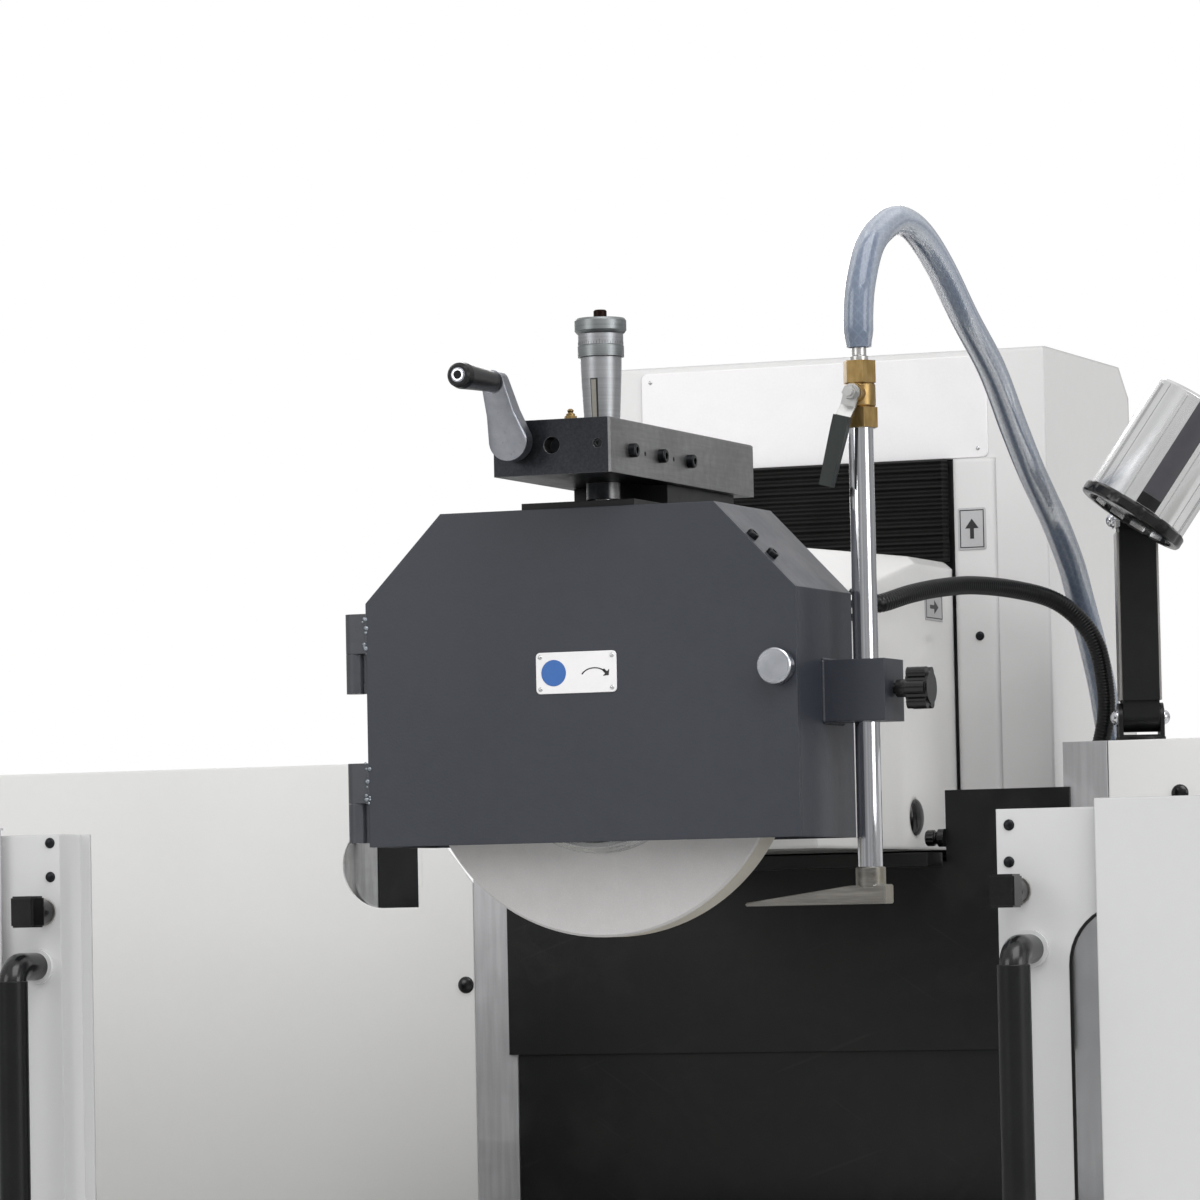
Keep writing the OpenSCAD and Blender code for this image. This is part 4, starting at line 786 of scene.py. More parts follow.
chuckLook = {
    "colour": (0.52, 0.53, 0.54),
    "second": (0.66, 0.67, 0.68),
    "stain": (0.36, 0.34, 0.30),
    "roughness": (0.2, 0.38),
    "inlay": (0.60, 0.46, 0.20),
    "pitch": 0.018,
    "inlayShare": 0.16,
    "middle": -0.155,
    "reach": 0.168,
    "top": 1.140,
}


def poleFace(look):  # ground steel with thin brass inlays across its top
    material, tree, shader = startMaterial("poleFace", metallic=1.0)
    soft = useGroup(tree, softEdge, Radius=0.001)
    place = parts(tree, objectPlace(tree))
    step = mathNode(tree, "FRACT", mathNode(tree, "DIVIDE", place[0], look["pitch"]))
    inlay = spread(tree, step, look["inlayShare"], look["inlayShare"] - 0.02)
    top = spread(tree, place[2], look["top"], look["top"] + 0.0005)
    off = mathNode(tree, "ABSOLUTE", mathNode(tree, "ADD", place[1], -look["middle"]))
    rails = spread(tree, off, look["reach"], look["reach"] - 0.0005)
    inlay = times(tree, times(tree, inlay, top), rails)
    lines = useGroup(tree, streaks, Stretch=(0.05, 1, 1), Scale=240.0)["Value"]
    base = twoTone(tree, lines, look)
    stain = useGroup(tree, cloud, Scale=8.0, Fine=80.0)["Value"]
    base = tinted(tree, base, stain, look["stain"], 0.3)
    feed(tree, tinted(tree, base, inlay, look["inlay"]), shader.inputs["Base Color"])
    setRoughness(tree, shader, mathNode(tree, "ADD", lines, stain), look["roughness"], 2, calm=True)
    setBump(tree, shader, lines, 0.15, 0.0002, soft)
    return material


def clearGlass(name, colour, roughness, ior=1.45):
    material, tree, shader = startMaterial(name)
    feedAll(tree, shader, Transmission_Weight=1.0, IOR=ior)
    smear = useGroup(tree, cloud, Scale=9.0, Fine=70.0)["Value"]
    tones = {"colour": colour, "second": [c * 0.88 for c in colour]}
    feed(tree, twoTone(tree, smear, tones), shader.inputs["Base Color"])
    setRoughness(tree, shader, smear, (roughness, roughness + 0.06), calm=True)
    return material


finishes["abrasiveStone"] = abrasiveStone(wheelLook)
finishes["wornApron"] = wornApron("wornApron", apronLook)
finishes["railedApron"] = wornApron("railedApron", apronLook, guideLook)
finishes["poleFace"] = poleFace(chuckLook)
finishes["doorPane"] = clearGlass("doorPane", (0.76, 0.77, 0.775), 0.03)
finishes["lampGlass"] = clearGlass("lampGlass", (0.60, 0.62, 0.64), 0.10, 1.25)
print("made", len(finishes), "finishes")

dressing = {
    "guardEnamel": ("guard_shell", "guard_door", "pipe_bracket"),
    "hingeEnamel": ("hinge_fixed", "hinge_swing"),
    "turnedSteel": ("hinge_pins", "wheel_hub", "front_flange", "spindle"),
    "knobAluminium": ("door_knob",),
    "abrasiveStone": ("grinding_wheel",),
    "blackOxide": ("flange_screws", "spindle_nut", "gib_screws"),
    "groundSteel": ("spindle_bearings", "lead_screw", "diamond_holder", "lift_screw"),
    "darkCasting": ("spindle_housing",),
    "headEnamel": ("head_casing",),
    "riseIron": ("head_saddle", "column"),
    "satinBlack": ("dresser_base", "lamp_socket", "lamp_arm", "lamp_bracket"),
    "blockSteel": ("dresser_block",),
    "brass": ("oil_nipple", "ball_valve"),
    "crankAluminium": ("crank_arm",),
    "gripBlack": ("crank_grip",),
    "tubeBlack": ("left_handle", "right_handle"),
    "sleeveSteel": ("micrometer_sleeve",),
    "thimbleSteel": ("micrometer_thimble",),
    "glossBlack": ("star_knob", "left_latch", "right_latch"),
    "chrome": ("coolant_pipe",),
    "nozzleSteel": ("coolant_nozzle",),
    "leverSteel": ("valve_lever",),
    "columnEnamel": ("column_cover",),
    "wornApron": ("moving_apron",),
    "railedApron": ("fixed_apron",),
    "bedEnamel": ("machine_bed",),
    "wayIron": ("work_table",),
    "poleFace": ("magnetic_chuck",),
    "trayEnamel": ("splash_pan",),
    "panelEnamel": ("back_panels",),
    "doorEnamel": ("front_panels", "left_door", "right_door"),
    "doorPane": ("left_window", "right_window"),
    "lampAluminium": ("lamp_head",),
    "lampGlass": ("lamp_lens",),
}
for finish, names in dressing.items():
    for name in names:
        nodes[name].data.materials.clear()
        nodes[name].data.materials.append(finishes[finish])
print("dressed", sum(len(n) for n in dressing.values()), "nodes")

# mesh helpers


def across(axis, up=None):  # a turn that takes Z to the axis
    z = Vector(axis).normalized()
    guide = Vector(up) if up else (Vector((0, 0, 1)) if abs(z.z) < 0.9 else Vector((1, 0, 0)))
    x = guide.cross(z).normalized()
    return Matrix((x, z.cross(x), z)).transposed()


def finishPiece(name, mesh, body, finish, slot, smooth=35):
    mesh.normal_update()
    data = bpy.data.meshes.new(name)
    mesh.to_mesh(data)
    mesh.free()
    piece = bpy.data.objects.new(name, data)
    scene.collection.objects.link(piece)
    data.materials.append(finishes[finish])
    data.set_sharp_from_angle(angle=math.radians(smooth))
    for face in data.polygons:
        face.use_smooth = True
    if body:
        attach(piece, body)
    return piece


def wholePiece(name, look, build, *shape):  # a piece that one helper builds alone
    mesh = bmesh.new()
    build(mesh, *shape)
    return finishPiece(name, mesh, *look)


def faceOutward(mesh):
    bmesh.ops.recalc_face_normals(mesh, faces=mesh.faces)


def joinRows(mesh, rows):  # faces between each row of points and the next
    for one, two in zip(rows, rows[1:]):
        for k in range(len(one)):
            m = (k + 1) % len(one)
            mesh.faces.new((one[k], one[m], two[m], two[k]))


def addLoft(mesh, rows):  # a solid through rows of points, closed at both ends
    joinRows(mesh, rows)
    mesh.faces.new(rows[0][::-1])
    mesh.faces.new(rows[-1])


def addLathe(mesh, profile, place, axis, steps=32, reach=None):  # (radius, height) turned round an axis
    turn = across(axis)
    rings = []
    for r, h in profile:
        if r < 1e-7:
            rings.append([mesh.verts.new(Vector(place) + turn @ Vector((0, 0, h)))])
            continue
        ring = []
        for k in range(steps):
            a = 2 * math.pi * k / steps
            rr = r * (reach(a, h) if reach else 1)
            point = Vector((rr * math.cos(a), rr * math.sin(a), h))
            ring.append(mesh.verts.new(Vector(place) + turn @ point))
        rings.append(ring)
    for one, two in zip(rings, rings[1:]):
        for k in range(steps):
            m = (k + 1) % steps
            if len(one) == 1:
                mesh.faces.new((one[0], two[m], two[k]))
            elif len(two) == 1:
                mesh.faces.new((one[k], one[m], two[0]))
            else:
                mesh.faces.new((one[k], one[m], two[m], two[k]))


def cornerPoints(xs, ys, r, steps):  # round a rectangle: each corner's centre and direction
    (x0, x1), (y0, y1) = xs, ys
    for x, y, start in (
        (x1 - r, y1 - r, 0), (x0 + r, y1 - r, 90), (x0 + r, y0 + r, 180), (x1 - r, y0 + r, 270)
    ):
        for k in range(steps + 1):
            a = math.radians(start + 90 * k / steps)
            yield x, y, math.cos(a), math.sin(a)


def addPlate(mesh, corners, place, axis, up, thick, bevel=0.0004, cornerRadius=0.0, steps=6):
    turn = across(axis, up)
    (w0, h0), (w1, h1) = corners
    r = cornerRadius
    if r:
        outline = [(x + r * c, y + r * s) for x, y, c, s in cornerPoints((w0, w1), (h0, h1), r, steps)]
    else:
        outline = [(w1, h1), (w0, h1), (w0, h0), (w1, h0)]
    cx, cy = (w0 + w1) / 2, (h0 + h1) / 2
    layers = []
    for z, inset in ((0, 0), (thick - bevel, 0), (thick, bevel)):
        layer = []
        for x, y in outline:
            point = Vector((x - math.copysign(inset, x - cx), y - math.copysign(inset, y - cy), z))
            layer.append(mesh.verts.new(Vector(place) + turn @ point))
        layers.append(layer)
    addLoft(mesh, layers)


# a plate about its centre
def addFacePlate(mesh, half, place, axis, thick, bevel, cornerRadius=0.0, steps=6):
    w, h = half
    addPlate(mesh, ((-w, -h), (w, h)), place, axis, (0, 0, 1), thick, bevel, cornerRadius, steps)


def hexReach(a):  # how far a hexagon reaches at an angle, against its corners
    return math.cos(math.pi / 6) / math.cos(a % (math.pi / 3) - math.pi / 6)


def addSocketScrew(mesh, place, axis, r, tall, steps=24):  # cap head with a hexagon socket
    turn = across(axis)
    bevel = r * 0.14
    rings = []
    for z, radius, hexagon in (
        (0, r, False),
        (tall - bevel, r, False),
        (tall, r - bevel, False),
        (tall, r * 0.56, True),
        (tall * 0.35, r * 0.54, True),
    ):
        ring = []
        for k in range(steps):
            a = 2 * math.pi * k / steps
            rr = radius * (hexReach(a) if hexagon else 1)
            point = Vector((rr * math.cos(a), rr * math.sin(a), z))
            ring.append(mesh.verts.new(Vector(place) + turn @ point))
        rings.append(ring)
    addLoft(mesh, rings)


def addDome(mesh, place, axis, r, tall, steps=20):  # rivet or button head
    arc = [math.radians(d) for d in (12, 30, 48, 66, 80)]
    profile = [(r, 0)] + [(r * math.cos(a), tall * math.sin(a)) for a in arc] + [(0, tall)]
    addLathe(mesh, profile, place, axis, steps)


def addBar(mesh, low, high, bevel):  # a bar with its edges broken
    made = bmesh.ops.create_cube(mesh, size=1)["verts"]
    for v in made:
        v.co = Vector((low[i] + (v.co[i] + 0.5) * (high[i] - low[i]) for i in range(3)))
    edges = list({e for v in made for e in v.link_edges})
    bmesh.ops.bevel(mesh, geom=edges, offset=bevel, segments=2, affect="EDGES")


def smoothRoute(points, per=8):  # a curve through the points
    out = []
    p = [Vector(q) for q in points]
    for i in range(len(p) - 1):
        a, b, c, d = p[max(i - 1, 0)], p[i], p[i + 1], p[min(i + 2, len(p) - 1)]
        for k in range(per):
            t = k / per
            square = (2 * a - 5 * b + 4 * c - d) * t * t
            cube = (3 * b - a - 3 * c + d) * t ** 3
            out.append(0.5 * ((2 * b) + (c - a) * t + square + cube))
    out.append(p[-1])
    return out


def evenRoute(points, step):  # the same route with evenly spaced points
    total = [0.0]
    for a, b in zip(points, points[1:]):
        total.append(total[-1] + (b - a).length)
    count = max(2, round(total[-1] / step))
    out, j = [], 0
    for i in range(count + 1):
        s = total[-1] * i / count
        while j < len(points) - 2 and total[j + 1] < s:
            j += 1
        span = total[j + 1] - total[j]
        out.append(points[j].lerp(points[j + 1], (s - total[j]) / span if span else 0))
    return out, total[-1]


def addSweep(mesh, route, radii, sides):  # a tube whose radius may change at each point
    rings = []
    guide = Vector((1, -1, 0)).normalized()
    for i, p in enumerate(route):
        t = (route[min(i + 1, len(route) - 1)] - route[max(i - 1, 0)]).normalized()
        a = t.cross(guide).normalized()
        b = t.cross(a)
        guide = guide if abs(t.dot(guide)) < 0.95 else b
        turns = [2 * math.pi * k / sides for k in range(sides)]
        rings.append([mesh.verts.new(p + radii[i] * (math.cos(w) * a + math.sin(w) * b)) for w in turns])
    for one, two in zip(rings, rings[1:]):
        for k in range(sides):
            m = (k + 1) % sides
            mesh.faces.new((one[k], two[k], two[m], one[m]))
    return rings


def addBead(mesh, route, radii, sides):  # a tube closed at both ends
    rings = addSweep(mesh, route, radii, sides)
    mesh.faces.new(rings[0][::-1])
    mesh.faces.new(rings[-1])


print("mesh helpers ready")

hoseSpec = {
    "points": [
        (0.2380, -0.2560, 1.9463), (0.2380, -0.2560, 1.9750), (0.2390, -0.2500, 2.0050),
        (0.2420, -0.2320, 2.0400), (0.2470, -0.2050, 2.0600), (0.2520, -0.1780, 2.0680),
        (0.2580, -0.1400, 2.0600), (0.2637, -0.0960, 2.0335), (0.2692, -0.0400, 1.9896),
        (0.2714, 0.0300, 1.9490), (0.2694, 0.0980, 1.9026), (0.2689, 0.1500, 1.8658),
        (0.2696, 0.1920, 1.8380), (0.2716, 0.2240, 1.8139), (0.2756, 0.2580, 1.7769),
        (0.2772, 0.2800, 1.7462), (0.2807, 0.2930, 1.7174), (0.2848, 0.3000, 1.6907),
        (0.2897, 0.3040, 1.6621), (0.2939, 0.3070, 1.6297), (0.2981, 0.3100, 1.5933),
        (0.3029, 0.3140, 1.5407), (0.3034, 0.3200, 1.4802), (0.3000, 0.3300, 1.4200),
        (0.2870, 0.3430, 1.3700), (0.2720, 0.3630, 1.3360), (0.2620, 0.3750, 1.3080),
        (0.2620, 0.3750, 1.2903),
    ],
    "outer": 0.0135,
    "bore": 0.0098,
    "neck": {"radius": 0.0112, "length": 0.016},
    "sides": 28,
    "step": 0.005,
    "round": 0.085,
}
cableSpec = {
    "points": [
        (0.1423, 0.0320, 1.7330), (0.1520, 0.0320, 1.7330), (0.1593, 0.0400, 1.7351),
        (0.1747, 0.0700, 1.7436), (0.1916, 0.1120, 1.7506), (0.2094, 0.1580, 1.7541),
        (0.2337, 0.2100, 1.7514), (0.2606, 0.2410, 1.7424), (0.2830, 0.2540, 1.7236),
        (0.2993, 0.2570, 1.6976), (0.3060, 0.2590, 1.6638), (0.3071, 0.2600, 1.6333),
        (0.3019, 0.2610, 1.6060), (0.2928, 0.2620, 1.5806), (0.2810, 0.2670, 1.5532),
        (0.2710, 0.2800, 1.5240), (0.2610, 0.3110, 1.4900), (0.2550, 0.3460, 1.4550),
        (0.2520, 0.3800, 1.4260), (0.2520, 0.3980, 1.4040), (0.2520, 0.3980, 1.3903),
    ],
    "outer": 0.009,
    "groove": 0.0006,
    "pitch": 0.0030,
    "sides": 20,
}


def braidedTube(name, look):  # clear tube with a woven layer in its wall
    material, tree, shader = startMaterial(name, roughness=0.16, coat=0.5, coatRoughness=0.08)
    feedAll(tree, shader, Transmission_Weight=0.35, IOR=1.4)
    along = addNode(tree, "ShaderNodeUVMap", uv_map="along").outputs[0]
    threads = []
    for lean in (1, -1):
        wave = addNode(tree, "ShaderNodeTexWave", bands_direction="DIAGONAL")
        stretch = (lean * look["stretch"], look["stretch"], 0)
        feedAll(tree, wave, Vector=vectorNode(tree, "MULTIPLY", along, stretch), Scale=1.0)
        threads.append(spread(tree, wave.outputs[1], 0.8, 1.0))
    woven = mathNode(tree, "MAXIMUM", *threads)
    patch = useGroup(tree, cloud, Scale=9.0, Fine=60.0)["Value"]
    stain = spread(tree, noiseNode(tree, objectPlace(tree), 7.0, 4.0, 0.6), 0.6, 0.72)
    colour = tinted(tree, twoTone(tree, patch, look), woven, look["thread"], 0.16)
    colour = tinted(tree, colour, stain, look["stain"], 0.4)
    feed(tree, colour, shader.inputs["Base Color"])
    setBump(tree, shader, woven, 0.12, 0.0004)
    return material


tubeLook = {
    "stretch": 60.0,
    "colour": (0.165, 0.21, 0.29),
    "second": (0.225, 0.275, 0.365),
    "thread": (0.42, 0.47, 0.56),
    "stain": (0.13, 0.145, 0.165),
}


finishes["braidedTube"] = braidedTube("braidedTube", tubeLook)

nozzleSpec = {
    "heel": 0.0165,
    "spout": 0.0030,
    "flat": 0.0165,
    "bevel": 0.0009,
    "collar": 0.0135,
    "bore": 0.01125,
    "narrower": 0.0015,
    "slope": 0.0008,
    "sunk": 0.002,
    "edge": 0.001,
    "slit": {"wide": 0.0195, "tall": 0.0013, "thick": 0.00015, "bevel": 0.00003},
}


def makeNozzle(spec):  # flat spout under a short collar
    low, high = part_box("coolant_nozzle")
    px, py = ((a + b) / 2 for a, b in list(zip(*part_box("coolant_pipe")))[:2])
    half = (high.y - low.y) / 2 - spec["narrower"]
    heel = low.z + spec["heel"]
    shape = [
        (low.x, low.z),
        (high.x, low.z),
        (high.x, heel + spec["slope"]),
        (px - spec["flat"], heel),
        (low.x, low.z + spec["spout"]),
    ]
    mesh = bmesh.new()
    addLoft(mesh, [[mesh.verts.new((x, py + s * half, z)) for x, z in shape] for s in (-1, 1)])
    faceOutward(mesh)
    bmesh.ops.bevel(mesh, geom=list(mesh.edges), offset=spec["bevel"], segments=2, affect="EDGES")
    foot = heel - spec["sunk"]
    tall, r, bore, edge = high.z - foot, spec["collar"], spec["bore"], spec["edge"]
    collar = [(bore, 0), (r, 0), (r, tall - edge), (r - edge, tall), (bore, tall), (bore, 0)]
    addLathe(mesh, collar, (px, py, foot), (0, 0, 1), 64)
    bmesh.ops.remove_doubles(mesh, verts=mesh.verts, dist=1e-6)
    piece = finishPiece("sprayNozzle", mesh, "coolant", "nozzleSteel", "nozzle_steel", 30)
    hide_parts("coolant_nozzle")
    slit = spec["slit"]
    opening = (slit["wide"] / 2, slit["tall"] / 2)
    mouth = (low.x + 0.0001, py, low.z + spec["spout"] / 2)
    look = ("coolant", "sealRubber", "nozzle_steel", 30)
    wholePiece("nozzleSlit", look, addFacePlate, opening, mouth, (-1, 0, 0), slit["thick"], slit["bevel"])


makeNozzle(nozzleSpec)


def hangCord(piece, node):
    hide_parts(node)
    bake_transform(piece)


def makeHose(spec):
    route, length = evenRoute(smoothRoute(spec["points"]), spec["step"])
    mesh = bmesh.new()
    neck = spec["neck"]
    radii = []
    for i in range(len(route)):  # drawn in where it grips the tail of the valve
        t = min(1, i * spec["step"] / neck["length"])
        radii.append(neck["radius"] + (spec["outer"] - neck["radius"]) * t * t * (3 - 2 * t))
    outer = addSweep(mesh, route, radii, spec["sides"])
    inner = addSweep(mesh, route, [spec["bore"]] * len(route), spec["sides"])
    inside = {v for ring in inner for v in ring}
    bmesh.ops.reverse_faces(mesh, faces=[f for f in mesh.faces if f.verts[0] in inside])
    for a, b, flip in ((outer[0], inner[0], True), (outer[-1], inner[-1], False)):
        n = len(a)
        for k in range(n):
            quad = (a[k], b[k], b[(k + 1) % n], a[(k + 1) % n])
            mesh.faces.new(quad[::-1] if flip else quad)
    layer = mesh.loops.layers.uv.new("along")
    where = {}
    for rings in (outer, inner):
        for i, ring in enumerate(rings):
            for k, v in enumerate(ring):
                where[v] = (i * spec["step"], k / spec["sides"])
    for face in mesh.faces:
        wraps = any(where[loop.vert][1] > 0.7 for loop in face.loops)
        for loop in face.loops:
            along, turn = where[loop.vert]
            if wraps and turn < 0.3:
                turn += 1
            loop[layer].uv = (along, turn * spec["round"])
    hose = finishPiece("coolantHose", mesh, None, "braidedTube", "hose_pvc", 80)
    hangCord(hose, "coolant_hose")
    return length


def makeCable(spec):
    route, length = evenRoute(smoothRoute(spec["points"], 16), spec["pitch"] / 4)
    dips = [0.5 - 0.5 * math.cos(math.pi * i / 2) for i in range(len(route))]
    radii = [spec["outer"] - spec["groove"] * dip for dip in dips]
    radii[0] = radii[1] = radii[-1] = radii[-2] = spec["outer"]
    mesh = bmesh.new()
    addBead(mesh, route, radii, spec["sides"])
    cable = finishPiece("motorConduit", mesh, None, "gripBlack", "cable_black", 80)
    hangCord(cable, "motor_cable")
    return length


print("hose", round(makeHose(hoseSpec), 3), "m, conduit", round(makeCable(cableSpec), 3), "m")

# folding covers over the column's slot, above and below the head
foldSpec = {
    "pitch": 0.0043,
    "depth": 0.0024,
    "ripple": 0.0005,
    "lip": 0.004,
    "shoulder": 0.001,
    "flank": 0.009,
    "flats": (-0.3, 0.4),
    "back": (0.6, 0.002),
    "anchor": (0, 0.34),
    "covers": (
        {"name": "upperFolds", "node": "upper_bellows", "fixed": 1.892, "loose": 1.7893},
        {"name": "lowerFolds", "node": "lower_bellows", "fixed": 1.150, "loose": 1.5027},
    ),
}


def makeFolds(spec):
    for cover in spec["covers"]:
        low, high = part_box(cover["node"])
        half, lip, (share, past) = (high.x - low.x) / 2, spec["lip"], spec["back"]
        left, right = (half * f for f in spec["flats"])
        pleat = ((left, 0), (right, 0), (half - lip, spec["shoulder"]), (half, spec["flank"]))
        pleat = ((-half, spec["flank"]), (-half + lip, spec["shoulder"])) + pleat
        count = 2 * round((high.z - low.z) / spec["pitch"])
        mesh = bmesh.new()
        rows = []
        for i in range(count + 1):
            z = low.z + (high.z - low.z) * i / count
            y = low.y if i % 2 else low.y + spec["depth"]
            wave = spec["ripple"] * math.sin(i * 1.7)
            rows.append([mesh.verts.new((x, y + back + wave, z)) for x, back in pleat])
        for one, two in zip(rows, rows[1:]):
            for k in range(len(pleat) - 1):
                mesh.faces.new((one[k], one[k + 1], two[k + 1], two[k]))
        back = bmesh.ops.extrude_face_region(mesh, geom=list(mesh.faces))
        for v in (g for g in back["geom"] if isinstance(g, bmesh.types.BMVert)):
            v.co.y = low.y + share * (high.y - low.y) + past
        faceOutward(mesh)
        piece = finishPiece(cover["name"], mesh, None, "sealRubber", "bellows_black", 20)
        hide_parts(cover["node"])
        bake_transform(piece)


makeFolds(foldSpec)
print("folded the slot covers")

# bare plates, strips and labels
sunk = 0.0002  # how deep a rivet sits in its plate
signSpec = {
    "x": (-0.200, 0.167),
    "z": (1.8925, 1.994),
    "front": 0.345,
    "thick": 0.002,
    "corner": 0.006,
    "bevel": 0.0005,
    "rivets": {"inset": (0.010, 0.009), "size": (0.0022, 0.0010)},
}


def makeSignPlate(spec):
    (x0, x1), (z0, z1), front = spec["x"], spec["z"], spec["front"]
    cx, cz, w, h = (x0 + x1) / 2, (z0 + z1) / 2, (x1 - x0) / 2, (z1 - z0) / 2
    look = ("column", "labelWhite", "white_paint", 30)
    plate = ((w, h), (cx, front, cz), (0, -1, 0), spec["thick"], spec["bevel"], spec["corner"])
    wholePiece("signPlate", look, addFacePlate, *plate)
    mesh = bmesh.new()
    inX, inZ = spec["rivets"]["inset"]
    for x in (-w + inX, w - inX):
        for z in (-h + inZ, h - inZ):
            place = (cx + x, front - spec["thick"] + sunk, cz + z)
            addDome(mesh, place, (0, -1, 0), *spec["rivets"]["size"])
    finishPiece("signRivets", mesh, "column", "turnedSteel", "turned_steel")


stripSpec = {
    "x": (0.1312, 0.1745),
    "front": 0.345,
    "proud": 0.0035,
    "slope": 0.008,
    "edge": 0.0008,
    "z": (1.152, 1.892),
}


def makeStrip(spec):  # folded strip beside the slot
    x0, x1 = spec["x"]
    f, p = spec["front"], spec["proud"]
    section = [(x0, f), (x0, f - p), (x1 - spec["slope"], f - p), (x1, f - spec["edge"]), (x1, f)]
    mesh = bmesh.new()
    addLoft(mesh, [[mesh.verts.new((x, y, z)) for x, y in section] for z in spec["z"]])
    faceOutward(mesh)
    finishPiece("slotStrip", mesh, "column", "columnEnamel", "white_paint", 20)


labelSpec = (
    {
        "name": "liftLabel", "body": "column", "place": (0.1495, 0.3415, 1.8215), "axis": (0, -1, 0),
        "size": (0.029, 0.042), "turn": 0,
    },
    {
        "name": "sideLabel", "body": "head", "place": (0.128, 0.2775, 1.7415), "axis": (1, 0, 0),
        "size": (0.054, 0.027), "turn": -90,
    },
)
labelLine = {
    "thick": 0.0008, "wide": 0.0009, "raised": 0.00025, "bevel": 0.00005, "inset": (0.002, 0.003)
}
arrowShape = (
    (-0.12, -0.5), (0.12, -0.5), (0.12, 0.02), (0.42, 0.02), (0, 0.5), (-0.42, 0.02), (-0.12, 0.02)
)


def addArrow(mesh, place, axis, size, turn, raised):
    frameTurn = across(axis, (0, 0, 1))
    length, width = size
    c, s = math.cos(math.radians(turn)), math.sin(math.radians(turn))
    points = [(x * width, y * length) for x, y in arrowShape]
    rows = []
    for z in (0, raised):
        turned = [Vector((x * c - y * s, x * s + y * c, z)) for x, y in points]
        rows.append([mesh.verts.new(Vector(place) + frameTurn @ p) for p in turned])
    addLoft(mesh, rows)


def makeLabels(specs, line):
    for s in specs:
        w, h = s["size"][0] / 2, s["size"][1] / 2
        look = (s["body"], "labelGrey", "white_paint", 30)
        plate = ((w, h), s["place"], s["axis"], line["thick"], 0.0002, 0.002, 4)
        wholePiece(s["name"], look, addFacePlate, *plate)
        mesh = bmesh.new()
        top = Vector(s["place"]) + Vector(s["axis"]) * line["thick"]
        size = (max(w, h) * 0.95, min(w, h) * 1.15)
        addArrow(mesh, top, s["axis"], size, s["turn"], line["raised"])
        a, b, wide = w - line["inset"][0], h - line["inset"][1], line["wide"]
        for x0, x1, y0, y1 in (
            (-a, a, b, b + wide), (-a, a, -b - wide, -b), (-a, -a + wide, -b, b), (a - wide, a, -b, b)
        ):
            addPlate(mesh, ((x0, y0), (x1, y1)), top, s["axis"], (0, 0, 1), line["raised"], line["bevel"])
        finishPiece(s["name"] + "Mark", mesh, s["body"], "printBlack", "black_plastic", 30)


infoSpec = {
    "place": (-0.002, -0.350, 1.661),
    "size": (0.077, 0.037),
    "thick": 0.0012,
    "rivets": {"inset": 0.0042, "size": (0.0021, 0.0011)},
    "disc": (-0.0215, 0.0118),
    "arrow": (0.0175, -0.006),
    "arc": (0.0125, 0.0138),
    "flat": 0.72,
    "sweep": (155, 118),
    "head": {"angle": 33, "reach": (0.0132, 0.0095), "size": (0.0075, 0.010), "turn": -135},
    "raised": 0.00025,
}


def makeInfoPlate(spec):  # bare plate with a blue disc and the wheel's direction
    x, y, z = spec["place"]
    w, h = spec["size"][0] / 2, spec["size"][1] / 2
    front, raised = (0, -1, 0), spec["raised"]
    look = ("guard_door", "labelWhite", "white_paint", 30)
    plate = ((w, h), spec["place"], front, spec["thick"], 0.0003, 0.004, 5)
    wholePiece("infoPlate", look, addFacePlate, *plate)
    top = y - spec["thick"]
    dx, r = spec["disc"]
    look = ("guard_door", "signBlue", "black_plastic", 30)
    disc = ([(0, 0), (r, 0), (r, 0.0002), (0, raised)], (x + dx, top, z), front, 40)
    wholePiece("infoDisc", look, addLathe, *disc)
    mesh = bmesh.new()
    inset = spec["rivets"]["inset"]
    for dx in (-w + inset, w - inset):
        for dz in (-h + inset, h - inset):
            addDome(mesh, (x + dx, top + sunk, z + dz), front, *spec["rivets"]["size"], 16)
    finishPiece("infoRivets", mesh, "guard_door", "turnedSteel", "turned_steel")
    mesh = bmesh.new()
    cx, cz = x + spec["arrow"][0], z + spec["arrow"][1]
    (inner, outer), (start, sweep), head = spec["arc"], spec["sweep"], spec["head"]
    section = ((inner, 0), (outer, 0), (outer, raised), (inner, raised))
    rows = []
    for k in range(17):  # an arc from left over the top to the right
        a = math.radians(start - sweep * k / 16)
        c, s = math.cos(a), math.sin(a) * spec["flat"]
        rows.append([mesh.verts.new((cx + r * c, top - e, cz + r * s)) for r, e in section])
    addLoft(mesh, rows)
    faceOutward(mesh)
    a, (reachX, reachZ) = math.radians(head["angle"]), head["reach"]
    tip = (cx + reachX * math.cos(a), top, cz + reachZ * math.sin(a))
    addArrow(mesh, tip, front, head["size"], head["turn"], raised)
    finishPiece("infoArrow", mesh, "guard_door", "printBlack", "black_plastic", 30)


makeSignPlate(signSpec)
makeStrip(stripSpec)
makeLabels(labelSpec, labelLine)
makeInfoPlate(infoSpec)
print("mounted the plates and labels")

